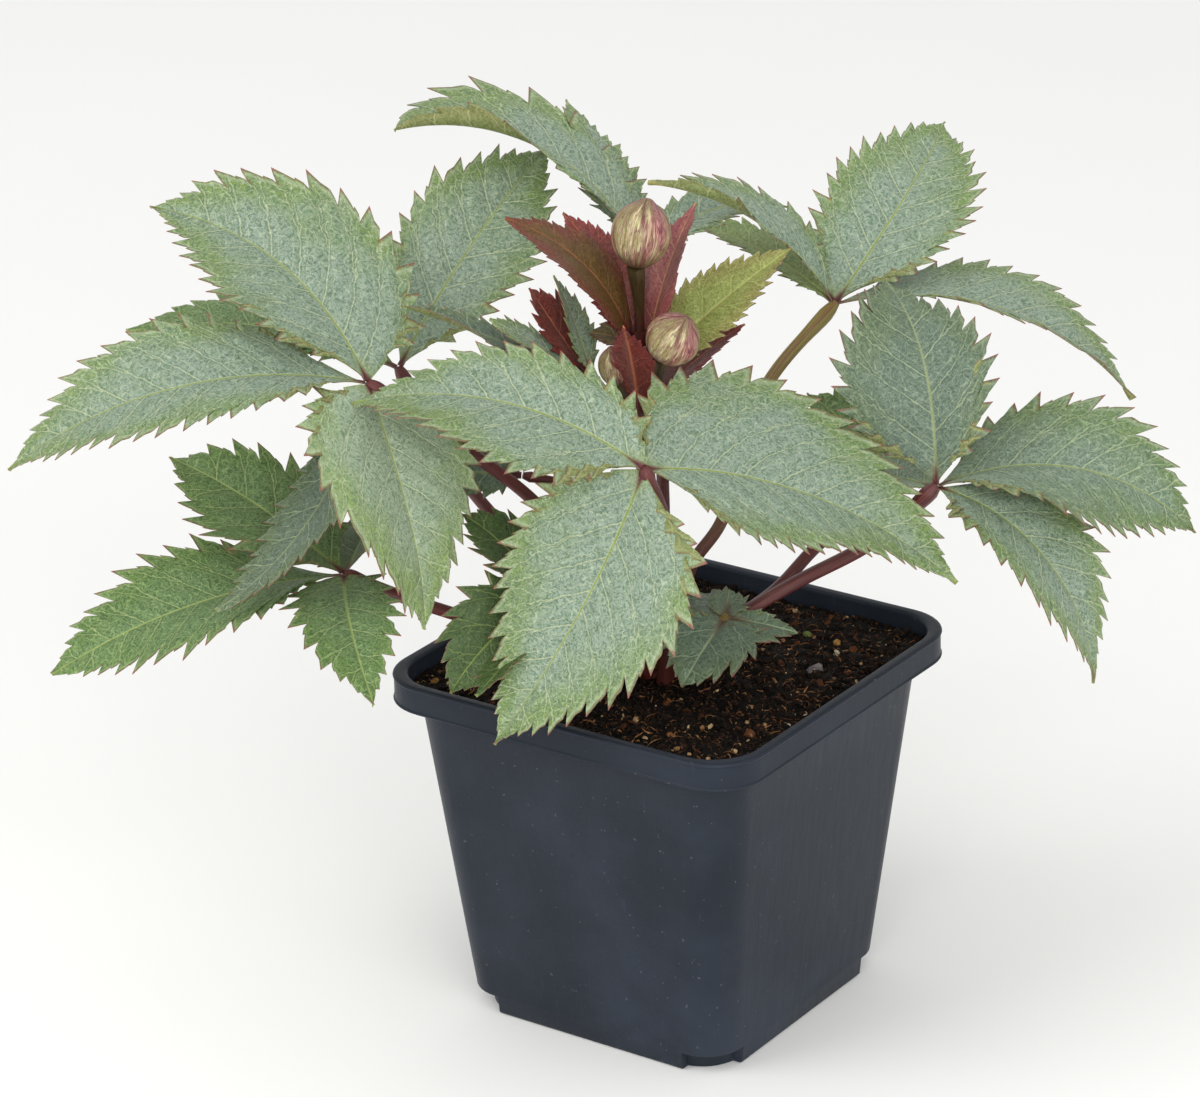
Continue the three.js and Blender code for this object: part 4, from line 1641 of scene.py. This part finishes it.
@dataclass
class Pot:
    """A tapered square pot with a collar, rounded corners, notched feet and drain holes."""

    height: float = 114.0
    rim: float = 65.0  # half the width across the rim
    corner: float = 16.5
    collar: float = 9.0
    base: float = 47.0
    body_top: float = 59.6  # half the width the taper would have at the rim's height
    wall: float = 1.4
    floor: float = 1.6
    lip: float = 3.7  # thickness of the collar
    notch_height: float = 6.0
    notch_inset: float = 2.8
    notch_reach: float = 13.0
    notch_round: float = 2.0  # how much rounder the foot's corners are inside the notches
    drain_radius: float = 4.0
    drain_spacing: float = 56.0
    peg_length: float = 6.0
    corner_segments: int = 10
    soft_edge: float = 0.22  # width of the bevel on every sharp edge

    def taper(self, z: float) -> float:
        """Half width of the body's outside at a height."""
        return self.base + (self.body_top - self.base) * z / self.height

    def stations(self) -> list[Pair]:
        """The pot's outline, from the underside out, up, over the rim and in.

        Returns:
            Height and half width of each ring.
        """
        top, rim = self.height, self.rim
        foot, inner = top - self.collar, rim - self.lip
        shelf, ledge = self.notch_height + self.wall, foot + self.wall
        heel = [(0.0, self.base - 0.9), (0.15, self.base - 0.35)]
        outside = [(z, self.taper(z)) for z in (0.7, self.notch_height + 1, 40, 80, foot)]
        bead = (0, 0.7), (0.12, 0.3), (0.35, 0.06), (0.6, 0), (0.85, 0.08), (1.1, 0.3)
        below = [(foot + up, rim - back) for up, back in bead]
        brow = (1.5, 0.3), (1.2, 0.1), (0.9, 0), (0.5, 0.1), (0.2, 0.35), (0.04, 0.75), (0, 1.2)
        above = [(top - down, rim - back) for down, back in (*brow, (0.05, 2.5))]
        lip = [(top - 0.2, inner + 0.55), (top - 0.55, inner + 0.2), (top - 1.2, inner)]
        inside = [(z, self.taper(z) - self.wall) for z in (ledge, 40, shelf)]
        narrow = self.wall + self.notch_inset
        well = [(z, self.taper(z) - narrow) for z in (shelf, self.floor)]
        return [*heel, *outside, *below, *above, *lip, (ledge, inner), *inside, *well]

    def drawn(self, name: str, rings: Sequence[Pair], rounder: float = 0.0) -> Piece:
        """Draws a rounded square up or down through rings by extrusion.

        Args:
            name: The piece's name.
            rings: Height and half width of each ring.
            rounder: How much is added to the radius of the first ring's corners.

        Returns:
            The object, closed.
        """
        z, half = rings[0]
        plane = bpy.ops.mesh.primitive_plane_add
        piece = begin(name, plane, size=2 * half * MM, location=(0, 0, z * MM))
        with editing(piece):
            bpy.ops.mesh.bevel(
                offset=(self.corner * half / self.rim + rounder) * MM,
                segments=self.corner_segments, affect="VERTICES",
            )
            for (z0, half0), (z1, half1) in zip(rings, rings[1:]):
                rise = {"value": (0, 0, (z1 - z0) * MM)}
                bpy.ops.mesh.extrude_region_move(TRANSFORM_OT_translate=rise)
                grow = half1 / half0
                bpy.ops.transform.resize(value=(grow, grow, 1), center_override=(0, 0, 0))
        face_outwards(piece)
        return piece

    def cut(self, piece: Piece, tool: Piece) -> None:
        """Takes tool away from piece, and removes tool."""
        apply_modifier(piece, "BOOLEAN", operation="DIFFERENCE", solver="EXACT", object=tool)
        bpy.data.objects.remove(tool)

    def corners(self, reach: float) -> list[Pair]:
        """The four points at reach along both axes."""
        return [(reach, reach), (-reach, reach), (-reach, -reach), (reach, -reach)]

    def notches(self) -> Piece:
        """What is cut away at the four foot corners.

        Returns:
            The object, in four parts.
        """
        side, tall = 2 * self.notch_reach * MM, 2 * self.notch_height * MM
        blocks = [
            begin(
                "notch", bpy.ops.mesh.primitive_cube_add,
                size=1, location=(x * MM, y * MM, 0), scale=(side, side, tall),
            )
            for x, y in self.corners(self.base)
        ]
        tool = join(blocks, "notches")
        foot = [(z, self.taper(z) - self.notch_inset) for z in (-2, self.notch_height + 2)]
        self.cut(tool, self.drawn("foot_wall", foot, self.notch_round))
        return tool

    def drains(self) -> Piece:
        """The four pegs that leave the drain holes.

        Returns:
            The object, in four parts.
        """
        pegs = [
            begin(
                "peg", bpy.ops.mesh.primitive_cylinder_add, vertices=32,
                radius=self.drain_radius * MM, depth=self.peg_length * MM,
                location=(x * MM, y * MM, self.floor / 2 * MM),
            )
            for x, y in self.corners(self.drain_spacing / 2)
        ]
        return join(pegs, "drains")

    def build(self) -> None:
        """Models, cuts, dresses and seats the pot."""
        piece = self.drawn("pot", self.stations())
        self.cut(piece, self.notches())
        self.cut(piece, self.drains())
        apply_modifier(
            piece, "BEVEL", width=self.soft_edge * MM, segments=2, limit_method="ANGLE",
            angle_limit=math.radians(50),
        )
        smooth(piece, 32)
        dress(piece, PlasticFinish())
        seat(piece, "pot", "pot")


# ---------------------------------------------------------------- the potting mix


class Lump(Enum):
    """Kinds of bit: divisions, roughness, stretch, and how far out its sides are cut flat."""

    CRUMB = 1, 0.42, (1.0, 1.0, 1.0), math.inf
    CHIP = 1, 0.34, (1.35, 0.85, 0.38), 0.72
    STONE = 2, 0.16, (1.1, 0.9, 0.72), math.inf


Bit = tuple[Array, Array]  # points and triangles, at unit size
Spot = tuple[float, float, float, float]  # place x and y, size in millimetres, and tint


@dataclass
class PottingMix:
    """Damp bark and peat: a rough block with crumbs, chips, fibres and stones on it."""

    ledge: float = 106.7  # where the pot narrows below its collar
    bottom: float = 1.9
    half: float = 61.1  # half the width of the surface
    ledge_half: float = 57.0
    foot_half: float = 42.5
    corner: float = 12.6
    cells: int = 120
    crown_room: float = 9.0  # bits keep this far from the crown's axis
    # Width, seed and height of the surface's lumps
    lumps: tuple[Point, ...] = ((21, 3.1, 0.9), (6.5, 8.7, 0.75), (2.4, 1.3, 0.55))
    mound: Pair = (17, 1.6)  # width and height of the mound round the crown
    dip: float = 9.0  # how steeply it falls off close to the wall
    # Stones that stand out: name, three colours, and the spots of each
    pebbles: tuple[tuple[str, str, str, str, tuple[Spot, ...]], ...] = (
        ("moss", "3c4a20", "7d8a45", "a3a866", ((24, 41, 1.6, 0.6),)),
        ("gold", "7c5222", "b98c4a", "d8b878", ((35, 40, 1.5, 0.6), (-53, -49, 1.1, 0.5))),
        (
            "pale", "8a7c64", "c9bda4", "e0d8c4",
            ((40, 32, 1.2, 0.7), (55, -10, 0.8, 0.9), (55, -19, 0.8, 0.8)),
        ),
        ("mauve", "4a4144", "8c8184", "c4bcb8", ((41, 18, 2.3, 0.6),)),
        ("russet", "4a2814", "7d5030", "a67850", ((49, -31, 1.8, 0.4), (-56, -42, 0.9, 0.8))),
    )
    rng: random.Random = field(default_factory=lambda: random.Random(41))

    def height(self, x: float, y: float) -> float:
        """The surface: a mound round the crown, lumps of three sizes, and a dip at the wall.

        Args:
            x: Place along X in millimetres.
            y: Place along Y in millimetres.

        Returns:
            Its height in millimetres.
        """
        rough = sum(
            tall * noise.noise(Vector((x / wide, y / wide, seed)))
            for wide, seed, tall in self.lumps
        )
        wide, tall = self.mound
        mound = tall * math.exp(-((math.dist((x, y), CROWN) / wide) ** 2))
        dip = self.dip * max(0.0, max(abs(x), abs(y)) / self.half - 0.9)
        return SOIL_TOP - 0.2 + mound - dip + rough

    def outline(self, angle: float) -> float:
        """Distance from the centre to the rounded square's edge.

        Args:
            angle: The direction in radians.

        Returns:
            The distance in millimetres.
        """
        c, s = abs(math.cos(angle)), abs(math.sin(angle))
        flat = self.half - self.corner
        straight = self.half / max(c, s)
        if min(c, s) * straight <= flat:
            return straight
        mid = flat * (c + s)
        return mid + math.sqrt(max(0.0, mid * mid - 2 * flat * flat + self.corner**2))

    def block(self) -> Piece:
        """The mix as one closed block with a crumbly top.

        Returns:
            The object.
        """
        piece, _, _ = lattice("soil", self.cells, self.cells)
        placed = []
        for x, y, _ in points_of(piece):
            angle = math.atan2(y, x)
            far = self.outline(angle) * max(abs(x), abs(y))
            px, py = far * math.cos(angle), far * math.sin(angle)
            placed.append((px, py, self.height(px, py)))
        move_points(piece, np.array(placed) * MM)
        tag(piece, "tint", np.full(len(placed), 0.15))
        with editing(piece):
            bpy.ops.mesh.region_to_loop()
            for z, shrink in (
                (self.ledge, 1.0),
                (self.ledge, self.ledge_half / self.half),
                (self.bottom, self.foot_half / self.ledge_half),
            ):
                bpy.ops.mesh.extrude_edges_move()
                bpy.ops.transform.resize(value=(shrink, shrink, 0), center_override=(0, 0, z * MM))
            bpy.ops.mesh.edge_face_add()
        face_outwards(piece)
        smooth(piece, 75)
        return piece

    def lump(self, kind: Lump, seed: int) -> Bit:
        """Models one bit at unit size.

        Args:
            kind: What it is.
            seed: Which of its kind it is.

        Returns:
            Its points and its triangles.
        """
        divisions, rough, stretch, cut = kind.value
        ball = bpy.ops.mesh.primitive_ico_sphere_add
        piece = begin(kind.name.lower(), ball, subdivisions=divisions, radius=1)
        at, own = points_of(piece), Vector((seed * 5.3, 1.7, 4.1))
        push = [1 + rough * noise.noise(Vector(p) * 1.7 + own) * 2 for p in at]
        at = np.clip(at * np.array(push)[:, None], -cut, cut) * np.array(stretch)
        triangles = np.array([list(p.vertices) for p in piece.data.polygons])
        bpy.data.meshes.remove(piece.data)
        return at, triangles

    def thread(self, seed: int, count: int = 7) -> Bit:
        """Models one curled fibre of unit length, three-sided.

        Args:
            seed: Which fibre it is.
            count: How many rings it has.

        Returns:
            Its points and its triangles.
        """
        rng = random.Random(seed)
        points, faces = [], []
        bow, lift = rng.uniform(-0.35, 0.35), rng.uniform(0.02, 0.22)
        for i in range(count):
            t = i / (count - 1)
            middle = np.array([t - 0.5, bow * math.sin(3.1 * t), lift * math.sin(3.14 * t)])
            thin = 0.058 * (1 - 0.6 * abs(2 * t - 1))
            for a in (0, 2.094, 4.188):
                points.append(middle + np.array([0, math.cos(a) * thin, math.sin(a) * thin]))
        for i in range(count - 1):
            for k in range(3):
                a, b = 3 * i + k, 3 * i + (k + 1) % 3
                faces += [(a, b, b + 3), (a, b + 3, a + 3)]
        faces += [(2, 1, 0), (3 * count - 3, 3 * count - 2, 3 * count - 1)]
        return np.array(points), np.array(faces)

    def free_spot(self, margin: float) -> Pair:
        """Finds a random place on the surface.

        Args:
            margin: How far it stays from the wall.

        Returns:
            The place in millimetres.
        """
        while True:
            x = self.rng.uniform(-self.half, self.half)
            y = self.rng.uniform(-self.half, self.half)
            inside = math.hypot(x, y) < self.outline(math.atan2(y, x)) - margin
            if inside and math.dist((x, y), CROWN) > self.crown_room:
                return x, y

    def strewn(self, count: int, low: float, high: float, margin: float) -> list[Spot]:
        """Picks random places, sizes and tints, with more small bits than large ones.

        Args:
            count: How many.
            low: The smallest size in millimetres.
            high: The largest size.
            margin: How far they stay from the wall.

        Returns:
            The spots.
        """
        return [
            (
                *self.free_spot(margin), low + (high - low) * self.rng.random() ** 2.2,
                self.rng.random(),
            )
            for _ in range(count)
        ]

    def scatter(
        self, name: str, models: list[Bit], spots: Sequence[Spot], finish: EarthFinish,
        tilt: float, sink: float,
    ) -> None:
        """Copies bits over the surface as one piece.

        Args:
            name: The piece's name.
            models: The bits to choose from.
            spots: Where the copies go.
            finish: Their finish.
            tilt: How far a bit may lean, in radians.
            sink: How deep it sits, as a share of its size.
        """
        points, faces, tints = [], [], []
        for x, y, size, tint in spots:
            at, triangles = self.rng.choice(models)
            spin = Matrix.Rotation(self.rng.uniform(0, 6.283), 3, "Z")
            lean = Matrix.Rotation(self.rng.uniform(-tilt, tilt), 3, "X")
            lean @= Matrix.Rotation(self.rng.uniform(-tilt, tilt), 3, "Y")
            turn = np.array(spin @ lean)
            stretch = np.array([self.rng.uniform(0.8, 1.25) for _ in range(3)])
            centre = np.array([x, y, self.height(x, y) + size * (0.5 - sink)])
            points.append((at * stretch * size) @ turn.T + centre)
            faces.append(triangles + len(tints))
            tints += [tint] * len(at)
        mesh = bpy.data.meshes.new(name)
        mesh.from_pydata((np.vstack(points) * MM).tolist(), [], np.vstack(faces).tolist())
        piece = link(name, mesh)
        tag(piece, "tint", np.array(tints))
        smooth(piece, 38)
        dress(piece, finish)
        seat(piece, "soil")

    def build(self) -> None:
        """Models the block and everything strewn on it."""
        mix = EarthFinish("soil_mix", "040302", "21140c", "785032", roughness=0.9)
        bark = EarthFinish("bark_chips", "170b06", "55301a", "8f5a32", relief=0.0003)
        fibre = EarthFinish("soil_fibre", "341c10", "9a6a42", "d2a878", roughness=0.7)
        straw = EarthFinish("soil_straw", "6e4e2e", "c8a266", "e6cc98", roughness=0.6)
        grit = EarthFinish("soil_grit", "7a4e28", "cdb588", "e0d0a8", roughness=0.6, relief=0.0002)
        block = self.block()
        dress(block, mix)
        seat(block, "soil", "soil")
        crumbs = [self.lump(Lump.CRUMB, n) for n in range(6)]
        chips = [self.lump(Lump.CHIP, n) for n in range(6)]
        stones = [self.lump(Lump.STONE, n) for n in range(4)]
        threads = [self.thread(n) for n in range(8)]
        # Name, kinds of bit, how they are strewn, finish, tilt and sink
        for name, bits, how, finish, tilt, sink in (
            ("crumbs", crumbs, (2600, 0.4, 1.7, 2.0), mix, 1.5, 0.45),
            ("bark", chips, (420, 0.5, 1.9, 3.5), bark, 0.9, 0.35),
            ("fibres", threads, (1150, 1.4, 4.4, 3.5), fibre, 0.7, 0.40),
            ("straw", threads, (300, 0.8, 2.2, 3.5), straw, 0.8, 0.25),
            ("grit", chips + stones, (300, 0.3, 1.0, 3.0), grit, 1.2, 0.3),
        ):
            self.scatter(f"soil_{name}", bits, self.strewn(*how), finish, tilt, sink)
        for name, dark, light, glint, spots in self.pebbles:
            stone = EarthFinish(f"pebble_{name}", dark, light, glint, roughness=0.5, relief=0.0002)
            self.scatter(f"soil_pebble_{name}", stones, spots, stone, 0.6, 0.25)


# ---------------------------------------------------------------- studio


@dataclass
class Studio:
    """A pale floor, soft lights and the camera."""

    target: Point = (-16.7, -11.7, 147.4)
    azimuth: float = 34.9
    elevation: float = 22.8
    distance: float = 1510.0
    roll: float = -1.3
    lens: float = 150.0
    sensor: float = 36.0
    # Name, place in metres, width and power of each lamp
    lamps: tuple[tuple[str, Point, float, float], ...] = (
        ("key", (-1.0, -1.4, 1.5), 1.4, 16),
        ("fill", (1.8, -0.8, 1.1), 1.4, 10),
        ("front", (0.9, -1.4, 0.9), 1.2, 11),
    )
    lamp_colour: Point = (1.0, 0.99, 0.975)
    lit: Point = (0, 0, 0.13)  # what the lamps face
    sky: float = 0.8

    def camera(self) -> None:
        """Sets up the camera."""
        a, e, r = (math.radians(d) for d in (self.azimuth, self.elevation, self.roll))
        back = Vector((math.sin(a) * math.cos(e), -math.cos(a) * math.cos(e), math.sin(e)))
        right = Vector((math.cos(a), math.sin(a), 0))
        up = back.cross(right)
        across = right * math.cos(r) + up * math.sin(r)
        over = up * math.cos(r) - right * math.sin(r)
        data = bpy.data.cameras.new("camera")
        data.lens, data.sensor_width = self.lens, self.sensor
        data.clip_start, data.clip_end = 0.05, 20
        camera = link("camera", data)
        turn = Matrix((across, over, back)).transposed().to_4x4()
        place = (Vector(self.target) + back * self.distance) * MM
        camera.matrix_world = Matrix.Translation(place) @ turn
        bpy.context.scene.camera = camera

    def floor(self) -> None:
        """Lays the floor."""
        plane = bpy.ops.mesh.primitive_plane_add
        piece = begin("floor", plane, size=14, location=(0, 0, -0.2 * MM))
        dress(piece, PaperFinish())

    def lamp(self, name: str, place: Point, size: float, power: float) -> None:
        """Adds one square soft lamp that faces the plant.

        Args:
            name: Its name.
            place: Where it hangs, in metres.
            size: Its width in metres.
            power: Its power in watts.
        """
        data = bpy.data.lights.new(name, "AREA")
        data.energy, data.size, data.color = power, size, self.lamp_colour
        facing = (Vector(place) - Vector(self.lit)).to_track_quat("Z", "Y").to_matrix().to_4x4()
        link(name, data).matrix_world = Matrix.Translation(place) @ facing

    def build(self) -> None:
        """Builds the studio."""
        self.camera()
        self.floor()
        for lamp in self.lamps:
            self.lamp(*lamp)
        world = bpy.data.worlds.new("studio")
        world.use_nodes = True
        background = world.node_tree.nodes["Background"]
        background.inputs["Color"].default_value = (1.0, 1.0, 1.0, 1.0)
        background.inputs["Strength"].default_value = self.sky
        bpy.context.scene.world = world
        bpy.context.scene.view_settings.view_transform = "Standard"
        log.info("studio ready")


def main() -> None:
    """Builds the studio and every part of the plant."""
    logging.basicConfig(level=logging.INFO, format="%(name)s: %(message)s")
    Studio().build()
    Pot().build()
    PottingMix().build()
    tubes, blades = TubeMaker(), BladeMaker()
    head = FlowerHead()
    Crown().build(tubes, blades, head.buds)
    for leaf in LEAVES:
        leaf.build(tubes, blades)
    head.build(blades)
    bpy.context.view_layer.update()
    log.info("sizes written")


if __name__ == "__main__":
    main()
